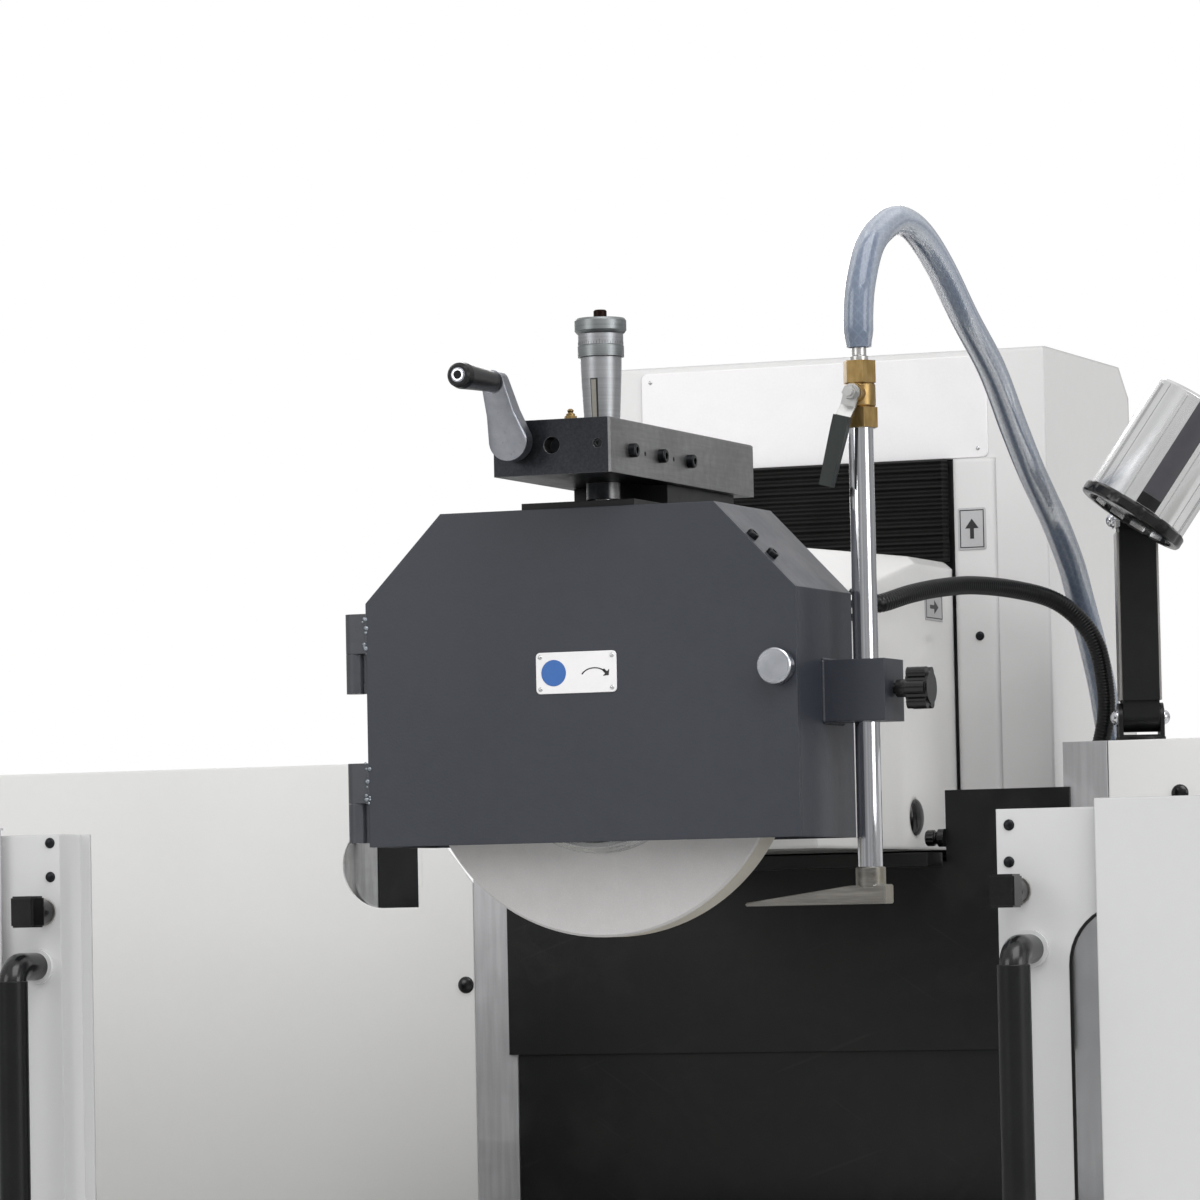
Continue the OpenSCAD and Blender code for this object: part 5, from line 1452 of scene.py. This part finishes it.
# screws, plugs and bolts
forward = (0, -1, 0)
darkDome = {"finish": "blackOxide", "slot": "black_oxide", "kind": "dome", "axis": forward}
darkSocket = {**darkDome, "kind": "socket", "axis": (1, 0, 0)}
glossDome = {"finish": "glossBlack", "slot": "black_plastic", "kind": "dome", "axis": forward}
screwSpec = {
    "chamferScrews": {
        **darkSocket, "body": "head", "axis": (78, 0, 75), "r": 0.0055, "tall": 0.005,
        "places": [(0.1616, -0.338, 1.7762), (0.1782, -0.334, 1.7590)],
    },
    "gibHeads": {
        **darkSocket, "body": "dresser", "r": 0.0063, "tall": 0.0068,
        "places": [(0.0553, y, 1.856) for y in (-0.354, -0.281, -0.208)],
    },
    "blockDowels": {
        **darkDome, "body": "dresser", "axis": (1, 0, 0), "r": 0.0022, "tall": 0.0005,
        "places": [(0.0555, -0.318, 1.8555), (0.0555, -0.246, 1.8555)],
    },
    "backPlugs": {
        **glossDome, "body": "base", "r": 0.0085, "tall": 0.0035,
        "places": [
            (-0.3394, 0.185, 1.3788),
            (0.3998, 0.185, 1.5500),
            (-0.960, 0.185, 1.3788),
            (0.960, 0.185, 1.5500),
        ],
    },
    "frontScrews": {
        **darkDome, "body": "base", "r": 0.0058, "tall": 0.0028,
        "places": [(s * 0.995, -0.480, z) for s in (-1, 1) for z in (1.030, 1.505)],
    },
    "leftDoorScrews": {
        **darkDome, "body": "left_slide", "r": 0.0048, "tall": 0.0024,
        "places": [(-0.4668, -0.470, 1.5195), (-0.4668, -0.470, 1.489), (-0.4668, -0.470, 1.045)],
    },
    "rightDoorScrews": {
        **darkDome, "body": "right_slide", "r": 0.0048, "tall": 0.0024,
        "places": [(0.4342, -0.470, 1.5134), (0.4335, -0.470, 1.4823), (0.4335, -0.470, 1.045)],
    },
    "columnScrew": {
        **darkDome, "body": "column", "r": 0.0046, "tall": 0.0022,
        "places": [(0.1549, 0.3415, 1.7146), (0.1549, 0.3415, 1.470), (0.1549, 0.3415, 1.190)],
    },
    # a black dome filling the casing's hole: painted shade for the dark inside of the hole
    "casingHoleShade": {
        **glossDome, "body": "head", "axis": (1, 0, 0), "r": 0.018, "tall": 0.0065,
        "places": [(0.1278, 0.207, 1.534)],
    },
    "trayScrews": {
        **darkDome, "body": "base", "r": 0.0065, "tall": 0.003,
        "places": [(x, -0.494, 0.975) for x in (-0.97, -0.65, -0.33, 0, 0.33, 0.65, 0.97)],
    },
}


def makeScrews(spec):
    for name, s in spec.items():
        mesh = bmesh.new()
        for place in s["places"]:
            if s["kind"] == "socket":
                addSocketScrew(mesh, place, s["axis"], s["r"], s["tall"])
            else:
                addDome(mesh, place, s["axis"], s["r"], s["tall"])
        finishPiece(name, mesh, s["body"], s["finish"], s["slot"])


makeScrews(screwSpec)

apronKnobSpec = {
    "place": (0.1672, 0.1775, 1.5131),
    "profile": [
        (0, 0), (0.0087, 0), (0.0087, 0.0062), (0.0072, 0.0068), (0.0060, 0.0085), (0.0060, 0.0098),
        (0.0074, 0.0104), (0.0074, 0.0178), (0.0062, 0.0190), (0.0034, 0.0192), (0, 0.0192),
    ],
    "knurl": (0.0103, 0.018, 0.05),
}


def makeApronKnob(spec):  # locking screw beside the notch
    low, high, depth = spec["knurl"]
    wavy = lambda a, h: 1 + (depth * math.cos(12 * a) if low < h < high else 0)
    look = ("apron", "glossBlack", "black_plastic")
    wholePiece("apronKnob", look, addLathe, spec["profile"], spec["place"], (-1, 0, 0), 36, wavy)


makeApronKnob(apronKnobSpec)

weldSpec = {
    "radius": 0.0021,
    "step": 0.0022,
    "hinges": (("guard_door", 0.0015, (1.5505, 1.6855)), ("head", 0.006, (1.5145, 1.6495))),
    "ends": (0.003, 0.033),
    "off": (0.0004, 0.0006),
    "swell": (0.86, 0.16, 2.1, 0.08),
    "tip": 0.35,
}


def makeWelds(spec):  # rippled beads round the pipe's bracket and along the hinge plates
    low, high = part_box("pipe_bracket")
    guardLow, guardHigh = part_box("guard_shell")
    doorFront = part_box("guard_door")[0].y
    right, left = spec["off"]
    x, hingeX = guardHigh.x + right, guardLow.x - left
    ring = [
        (x, low.y, low.z), (x, low.y, high.z), (x, high.y, high.z), (x, high.y, low.z), (x, low.y, low.z)
    ]
    runs = [("head", "guardEnamel", ring)]
    for body, back, heights in spec["hinges"]:
        for z in heights:
            line = [(hingeX, doorFront + back, z + end) for end in spec["ends"]]
            runs.append((body, "hingeEnamel", line))
    base, wave, beat, stray = spec["swell"]
    meshes = {}
    for body, finish, points in runs:
        mesh = meshes.setdefault((body, finish), bmesh.new())
        for a, b in zip(points, points[1:]):
            route = evenRoute([Vector(a), Vector(b)], spec["step"] / 3)[0]
            swell = [
                base + wave * math.sin(beat * i) + stray * random.random() for i in range(len(route))
            ]
            radii = [spec["radius"] * s for s in swell]
            radii[0] = radii[-1] = spec["radius"] * spec["tip"]
            addBead(mesh, route, radii, 10)
    for (body, finish), mesh in meshes.items():
        name = "weld" + body.title().replace("_", "") + finish[:5].title()
        slot = "guard_paint" if finish == "guardEnamel" else "hinge_paint"
        finishPiece(name, mesh, body, finish, slot, 180)


makeWelds(weldSpec)

dabSpec = {
    "left": -0.2068,
    "front": -0.3499,
    "heights": (1.7135, 1.7065, 1.6905, 1.5835, 1.5665, 1.5560, 1.5505),
    "each": 3,
    "size": (0.0011, 0.0023),
    "stray": ((-0.0032, 0.0022), (-0.0030, 0.0030)),
    "lean": ((-0.3, 0.2), (-0.2, 0.4)),
}


def makeWeldDabs(spec):  # bright ends of the beads on the door's hinge side
    (sideways, upwards), (leanX, leanZ) = spec["stray"], spec["lean"]
    mesh = bmesh.new()
    for z in spec["heights"]:
        for _ in range(spec["each"]):
            r = random.uniform(*spec["size"])
            x = spec["left"] + random.uniform(*sideways)
            place = (x, spec["front"], z + random.uniform(*upwards))
            axis = (random.uniform(*leanX), -1, random.uniform(*leanZ))
            addDome(mesh, place, axis, r, r * 0.8, 9)
    finishPiece("weldDabs", mesh, "guard_door", "weldSteel", "hinge_paint", 180)


makeWeldDabs(dabSpec)

# rubber seals round the door windows
sealSpec = {
    "inset": 0.062,
    "width": 0.545,
    "z": (1.070, 1.445),
    "front": -0.470,
    "lip": 0.010,
    "radius": 0.050,
    "section": [
        (-0.0016, -0.0006), (0.0003, -0.0008), (0.0008, -0.0004), (0.0008, 0.0), (0.0, 0.0),
        (0.0, 0.0022), (-0.0016, 0.0022),
    ],
    "doors": (("left_slide", "left_door", -1), ("right_slide", "right_door", 1)),
}


def makeSeals(spec):
    inset, lip, r = spec["inset"], spec["lip"], spec["radius"]
    for body, node, side in spec["doors"]:
        low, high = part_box(node)
        start = (low.x if side > 0 else high.x) + lip * side  # the fold's lip stands outside the face
        xs = sorted((start + side * inset, start + side * (spec["width"] - lip - inset)))
        mesh = bmesh.new()
        rows = []
        for x, z, ux, uz in cornerPoints(xs, spec["z"], r, 10):
            points = [
                (x + (r + out) * ux, spec["front"] + back, z + (r + out) * uz)
                for out, back in spec["section"]
            ]
            rows.append([mesh.verts.new(p) for p in points])
        joinRows(mesh, rows + rows[:1])
        faceOutward(mesh)
        name = body.replace("_slide", "") + "WindowSeal"
        finishPiece(name, mesh, body, "sealRubber", "bellows_black", 50)


makeSeals(sealSpec)

lampSpec = {
    "post": (0.354, 0.215),
    "turn": 22,
    "lean": 34,
    "centre": (0.3405, 0.138, 1.8085),
    "radius": 0.0505,
    "bezel": [
        (0.0446, 0.0070), (0.0446, 0.0012), (0.0460, 0.0002), (0.0526, 0.0004), (0.0540, 0.0022),
        (0.0540, 0.0096), (0.0528, 0.0112), (0.0506, 0.0125),
    ],
    "strip": (-86.0, 12.0),
    "bands": (
        ("lampBandFoot", (0.0128, 0.0245), "glossBlack", "black_plastic"),
        ("lampBand", (0.0245, 0.1262), "bandCharcoal", "black_steel"),
    ),
    "bandProud": 0.0004,
    "notch": (0.022, 0.001, 0.0108),
    "flutes": (-140, -116, -64, -44, 12, 60, 120, 160),
    "fluteHalf": 1.1,
    "fluteProud": 0.0006,
    "body": (0.0128, 0.1262),
    "board": (0.0442, 0.0125, 0.002),
    "emitter": (0.0030, 0.0022),
    "emitters": ((0, 1), (0.014, 6), (0.028, 12)),
    "rails": {"z": (1.6405, 1.8015), "x": (0.0176, 0.0200), "y": 0.0135},
    "pivots": (("lamp_swivel", 1.624), ("lamp_head", 1.814)),
    "washer": (0.0088, 0.0012, 0.0217),
    "pivotHead": (0.0070, 0.0058, 0.0228),
}


def postPoint(x, y, z):  # a point beside the lamp's post, turned with it
    a = math.radians(lampSpec["turn"])
    px, py = lampSpec["post"]
    return Vector((px + x * math.cos(a) - y * math.sin(a), py + x * math.sin(a) + y * math.cos(a), z))


def lampPoint(x, y, z):  # a point of the lamp's own frame in the row frame
    a = math.radians(lampSpec["lean"])
    cx, cy, cz = lampSpec["centre"]
    px, py = lampSpec["post"]
    return postPoint(
        cx - px + x * math.cos(a) + z * math.sin(a), cy - py + y, cz - x * math.sin(a) + z * math.cos(a)
    )


def addLampBand(mesh, r, angle, half, heights, proud):  # a strip that follows the round of the lamp
    z0, z1 = heights
    rows = []
    for k in range(9):
        a = math.radians(angle - half + 2 * half * k / 8)
        section = ((z0, r - 0.001), (z0, r + proud), (z1, r + proud), (z1, r - 0.001))
        rows.append(
            [mesh.verts.new(lampPoint(rr * math.cos(a), rr * math.sin(a), z)) for z, rr in section]
        )
    addLoft(mesh, rows)


def makeLampTrim(spec):
    axis = lampPoint(0, 0, 1) - lampPoint(0, 0, 0)
    r = spec["radius"]
    depth, near, far = spec["notch"]
    notched = lambda a, h: 1 - (depth * max(0, math.cos(12 * a)) ** 3 if near < h < far else 0)
    mesh = bmesh.new()
    addLathe(mesh, spec["bezel"], lampPoint(0, 0, 0), axis, 144, notched)
    faceOutward(mesh)
    finishPiece("lampBezel", mesh, "lamp_head", "glossBlack", "black_plastic", 30)
    for name, heights, finish, slot in spec["bands"]:
        mesh = bmesh.new()
        addLampBand(mesh, r, *spec["strip"], heights, spec["bandProud"])
        faceOutward(mesh)
        finishPiece(name, mesh, "lamp_head", finish, slot, 40)
    mesh = bmesh.new()
    for angle in spec["flutes"]:  # fine ridges along the drawn body
        addLampBand(mesh, r, angle, spec["fluteHalf"], spec["body"], spec["fluteProud"])
    faceOutward(mesh)
    finishPiece("lampFlutes", mesh, "lamp_head", "lampAluminium", "turned_aluminium", 30)
    boardRadius, boardHeight, boardThick = spec["board"]
    mesh = bmesh.new()
    for ring, count in spec["emitters"]:  # under the glass
        for k in range(count):
            a = 2 * math.pi * k / count
            place = lampPoint(ring * math.cos(a), ring * math.sin(a), boardHeight)
            addDome(mesh, place, -axis, *spec["emitter"], 16)
    finishPiece("lampEmitters", mesh, "lamp_head", "lampLens", "white_paint", 40)
    board = [(0, 0), (boardRadius, 0), (boardRadius, boardThick), (0, boardThick)]
    look = ("lamp_head", "sealRubber", "black_plastic", 40)
    wholePiece("lampBoard", look, addLathe, board, lampPoint(0, 0, boardHeight), axis, 48)


def makeLampArmTrim(spec):  # bare rails on the arm and domed heads on its pivots
    side = postPoint(1, 0, 0) - postPoint(0, 0, 0)
    (x0, x1), deep = spec["rails"]["x"], spec["rails"]["y"]
    section = ((x0, -deep), (x1, -deep), (x1, deep), (x0, deep))
    mesh = bmesh.new()
    for s in (-1, 1):
        addLoft(
            mesh,
            [[mesh.verts.new(postPoint(s * x, y, z)) for x, y in section] for z in spec["rails"]["z"]],
        )
    faceOutward(mesh)
    finishPiece("lampArmRails", mesh, "lamp_arm", "zincSteel", "turned_steel", 30)
    (r, thick, washerOff), (*headSize, headOff) = spec["washer"], spec["pivotHead"]
    washer = [(0, 0), (r, 0), (r, thick), (0, thick)]
    for body, z in spec["pivots"]:
        mesh = bmesh.new()
        for s in (-1, 1):
            addLathe(mesh, washer, postPoint(s * washerOff, 0, z), s * side, 28)
            addDome(mesh, postPoint(s * headOff, 0, z), s * side, *headSize, 24)
        finishPiece("pivotHeads" + body.split("_")[1].title(), mesh, body, "chrome", "chrome")


makeLampTrim(lampSpec)
makeLampArmTrim(lampSpec)

shutterSpec = {
    "steel": (-0.476, -0.4345),
    "bow": 0.010,
    "thick": 0.002,
    "black": (-0.4345, -0.386),
    "coverFront": 0.0005,
    "bevels": (0.0008, 0.0001),
    "y": (0.1885, 0.1945),
    "z": (1.452, 1.566),
    "lip": ((-0.389, 0.1849, 1.478), (-0.3845, 0.1879, 1.522)),
}


def makeShutter(spec):  # cover sheet behind the notch in the back panel
    (x0, x1), (y0, y1), (z0, z1) = spec["steel"], spec["y"], spec["z"]
    mesh = bmesh.new()
    rows = []
    for k in range(13):  # the bare sheet bows back towards its outer edge
        t = k / 12
        x, y = x0 + (x1 - x0) * t, y0 + spec["bow"] * (1 - t) ** 2
        back = y + spec["thick"]
        rows.append([mesh.verts.new(p) for p in ((x, y, z0), (x, y, z1), (x, back, z1), (x, back, z0))])
    addLoft(mesh, rows)
    faceOutward(mesh)
    finishPiece("notchSheet", mesh, "base", "riseIron", "way_iron", 40)
    (a, b), (coverBevel, lipBevel) = spec["black"], spec["bevels"]
    look = ("base", "glossBlack", "black_steel", 30)
    wholePiece("notchCover", look, addBar, (a, y0 + spec["coverFront"], z0), (b, y1, z1), coverBevel)
    wholePiece("notchLip", ("base", "lipEnamel", "panel_paint", 30), addBar, *spec["lip"], lipBevel)


makeShutter(shutterSpec)

latchSpec = {
    "foot": (0.0110, 0.0200),
    "block": (0.0110, 0.0140, 0.0440),
    "pin": 0.005,
    "cam": (0.006, 0.008, 0.011),
    "washer": 0.0016,
    "doors": (("left_latch", -0.474), ("right_latch", 0.440)),
    "door": -0.470,
    "height": 1.458,
}


def makeLatches(spec):  # quarter-turn: a block on a round foot, its pin, and its cam behind the door
    y, z = spec["door"], spec["height"]
    (r, foot), (w, h, out), pin = spec["foot"], spec["block"], spec["pin"]
    wide, near, far = spec["cam"]
    rim = r + spec["washer"]
    footShape = [(0, 0), (r, 0), (r, foot - 0.001), (r - 0.001, foot), (0, foot)]
    pinShape = [(0, -0.001), (pin, -0.001), (pin, 0.0095), (0, 0.0095)]
    washerShape = [(r, 0.0004), (rim, 0.0004), (rim, 0.0018), (r, 0.0018), (r, 0.0004)]
    for node, x in spec["doors"]:
        mesh = bmesh.new()
        addLathe(mesh, footShape, (x, y - 0.0002, z), (0, -1, 0), 48)
        addBar(mesh, (x - w, y - out, z - h), (x + w, y - foot + 0.0005, z + h), 0.0016)
        addLathe(mesh, pinShape, (x, y, z), (0, 1, 0), 24)
        addBar(mesh, (x - wide, y + near, z - wide), (x + wide, y + far, z + 0.020), 0.0006)
        piece = finishPiece(
            node.replace("_latch", "TurnLatch"), mesh, node, "glossBlack", "black_plastic", 40
        )
        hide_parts(node)
        mesh = bmesh.new()
        addLathe(mesh, washerShape, (x, y, z), (0, -1, 0), 48)
        bmesh.ops.remove_doubles(mesh, verts=mesh.verts, dist=1e-6)
        finishPiece(node.replace("_latch", "LatchWasher"), mesh, node, "zincSteel", "black_plastic", 40)


makeLatches(latchSpec)

glandSpec = {
    "place": (0.128, 0.032, 1.733),
    "profile": [
        (0.0158, 0.0), (0.0158, 0.0012), (0.0140, 0.0016), (0.0140, 0.0090), (0.0118, 0.0102),
        (0.0118, 0.0150), (0.0104, 0.0172), (0.0092, 0.0172), (0.0092, 0.0),
    ],
    "nut": (0.0015, 0.0095, 1.04),
}


def makeGland(spec):  # black nut and collar where the conduit leaves the head
    low, high, size = spec["nut"]
    nut = lambda a, h: hexReach(a) * size if low < h < high else 1
    look = ("head", "glossBlack", "black_plastic", 30)
    wholePiece("conduitGland", look, addLathe, spec["profile"], spec["place"], (1, 0, 0), 48, nut)


makeGland(glandSpec)

gripCapSpec = {"bore": 0.0036, "ring": 0.0056}


def makeGripCap(spec):  # dark bore in the bright end of the crank's pin
    low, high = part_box("crank_grip")
    end = ((low.x + high.x) / 2, low.y - 0.0001, (low.z + high.z) / 2)
    bore, ring = spec["bore"], spec["ring"]
    hole = [(0, 0), (bore, 0), (bore, 0.0003), (0, 0.0004)]
    look = ("crank", "sealRubber", "black_plastic", 30)
    wholePiece("gripBore", look, addLathe, hole, end, (0, -1, 0), 28)
    rim = [(bore, 0), (ring, 0), (ring - 0.0003, 0.0006), (bore + 0.0002, 0.0006), (bore, 0)]
    wholePiece("gripRing", ("crank", "chrome", "chrome", 30), addLathe, rim, end, (0, -1, 0), 40)


makeGripCap(gripCapSpec)

micrometerSpec = {
    "centre": (0, -0.28),
    "foot": 1.883,
    "slot": (-112, 12.5, (0.0026, 0.0424)),
    "frame": (-91, 11.5, (0.0088, 0.0452)),
    "scale": (-92.5, 7.5, (0.010, 0.044)),
    "band": (1.9584, 1.9697),
    "bandRadius": (0.0196, 0.0205, 0.0200),
    "marks": {
        "count": 50, "radius": 0.02048, "up": 0.0008, "half": 0.00012, "short": 0.0026, "long": 0.0042
    },
}


def sleeveRadius(h):  # the sleeve tapers from the shoulder of its foot
    return 0.016 + 0.002 * (h - 0.0025) / 0.0395 if h < 0.042 else 0.018 + 0.0006 * (h - 0.042) / 0.018


def addSleevePatch(mesh, spec, angle, half, z, depth, proud):
    cx, cy = spec["centre"]
    rows = []
    for k in range(9):
        a = math.radians(angle - half + 2 * half * k / 8)
        row = []
        for h, e in ((z[0], -depth), (z[0], proud), (z[1], proud), (z[1], -depth)):
            rr = sleeveRadius(h) + e
            row.append(mesh.verts.new((cx + rr * math.cos(a), cy + rr * math.sin(a), spec["foot"] + h)))
        rows.append(row)
    addLoft(mesh, rows)
    faceOutward(mesh)


def makeMicrometerTrim(spec):  # a filled key slot, the scale strip with its frame, and the thimble's band
    for name, key, depth, proud, finish, slot in (
        ("sleeveKey", "slot", 0.0012, 0.00002, "sleeveSteel", "turned_steel"),
        ("scaleFrame", "frame", 0.0008, 0.0001, "printBlack", "black_plastic"),
        ("scaleStrip", "scale", 0.0006, 0.0002, "scalePale", "white_paint"),
    ):
        patch = (*spec[key], depth, proud)
        wholePiece(name, ("dresser", finish, slot, 30), addSleevePatch, spec, *patch)
    low, high = spec["band"]
    cx, cy = spec["centre"]
    foot, r, top = spec["bandRadius"]
    band = [(foot, 0), (r, 0.0006), (r, high - low - 0.0004), (top, high - low)]
    look = ("thimble", "sleeveSteel", "turned_steel", 30)
    wholePiece("thimbleBand", look, addLathe, band, (cx, cy, low), (0, 0, 1), 64)
    marks = spec["marks"]
    mesh = bmesh.new()
    for k in range(marks["count"]):  # graduations
        a = 2 * math.pi * k / marks["count"]
        tall = marks["short"] if k % 5 else marks["long"]
        out = Vector((math.cos(a), math.sin(a), 0))
        place = Vector((cx, cy, low + marks["up"])) + out * marks["radius"]
        corners = ((-marks["half"], 0), (marks["half"], tall))
        addPlate(mesh, corners, place, out, (0, 0, 1), 0.0001, 0.00002)
    finishPiece("thimbleMarks", mesh, "thimble", "printBlack", "black_plastic", 30)


makeMicrometerTrim(micrometerSpec)

sleeveSpec = {
    "radius": 0.0141,
    "bore": 0.0122,
    "tube": 0.0125,
    "ends": 0.0285,
    "bevel": (0.0006, 0.0007),
    "handles": (("left_slide", "left_handle"), ("right_slide", "right_handle")),
}


def makeHandleSleeves(spec):  # rubber sleeve over the straight length of each handle
    r, bore, ends, (b, c) = spec["radius"], spec["bore"], spec["ends"], spec["bevel"]
    for body, node in spec["handles"]:
        low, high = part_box(node)
        tall = high.z - low.z - 2 * ends
        place = ((low.x + high.x) / 2, low.y + spec["tube"], low.z + ends)
        profile = [
            (bore, 0), (r - b, 0), (r, c), (r, tall - c), (r - b, tall), (bore, tall)
        ]
        name = node.split("_")[0] + "GripSleeve"
        look = (body, "gripBlack", "black_plastic", 40)
        wholePiece(name, look, addLathe, profile, place, (0, 0, 1), 48)


makeHandleSleeves(sleeveSpec)
print("fitted screws, welds, seals and lamp trim")

# floor and surroundings
floorSpec = {"size": 30, "colour": (0.80, 0.80, 0.79), "second": (0.824, 0.824, 0.8137)}


def makeFloor(spec):
    mesh = bmesh.new()
    s = spec["size"]
    mesh.faces.new([mesh.verts.new((x, y, 0)) for x, y in ((-s, -s), (s, -s), (s, s), (-s, s))])
    data = bpy.data.meshes.new("floor")
    mesh.to_mesh(data)
    mesh.free()
    floor = bpy.data.objects.new("floor", data)
    scene.collection.objects.link(floor)
    material, tree, shader = startMaterial("floorPaint", roughness=0.6, specular=0.2)
    patch = useGroup(tree, cloud, Scale=0.8, Fine=6.0)["Value"]
    feed(tree, twoTone(tree, patch, spec), shader.inputs["Base Color"])
    data.materials.append(material)


makeFloor(floorSpec)

worldSpec = {"light": 0.64, "ceiling": 1.0, "wall": 0.55, "wallHeight": 0.42, "low": 0.30}


def makeWorld(spec):  # white behind the machine, a soft hall in its reflections
    world = bpy.data.worlds.new("hall")
    world.use_nodes = True
    scene.world = world
    tree = world.node_tree
    tree.nodes.clear()
    path = addNode(tree, "ShaderNodeLightPath").outputs
    direction = addNode(tree, "ShaderNodeTexCoord").outputs["Generated"]
    ramp = addNode(tree, "ShaderNodeValToRGB")
    feed(tree, spread(tree, parts(tree, direction)[2], -0.35, 0.75), ramp.inputs[0])
    stops = ramp.color_ramp.elements
    stops[0].position, stops[0].color = 0.0, rgb(*(spec["low"],) * 3)
    stops[1].position, stops[1].color = 1.0, rgb(*(spec["ceiling"],) * 3)
    stops.new(spec["wallHeight"]).color = rgb(*(spec["wall"],) * 3)
    side = spread(tree, noiseNode(tree, direction, 2.2, 1.0), 0.35, 0.65, 0.55, 1.0)
    seen = mixColour(tree, 1.0, ramp.outputs[0], side, "MULTIPLY")
    mirror = mathNode(tree, "MAXIMUM", path["Is Glossy Ray"], path["Is Transmission Ray"])
    colour = mixColour(tree, mirror, rgb(*(spec["light"],) * 3), seen)
    colour = mixColour(tree, path["Is Camera Ray"], colour, rgb(1, 1, 1))
    shade = addNode(tree, "ShaderNodeBackground")
    feed(tree, colour, shade.inputs["Color"])
    feed(tree, shade.outputs[0], addNode(tree, "ShaderNodeOutputWorld").inputs["Surface"])


makeWorld(worldSpec)
print("set the floor and the surroundings")
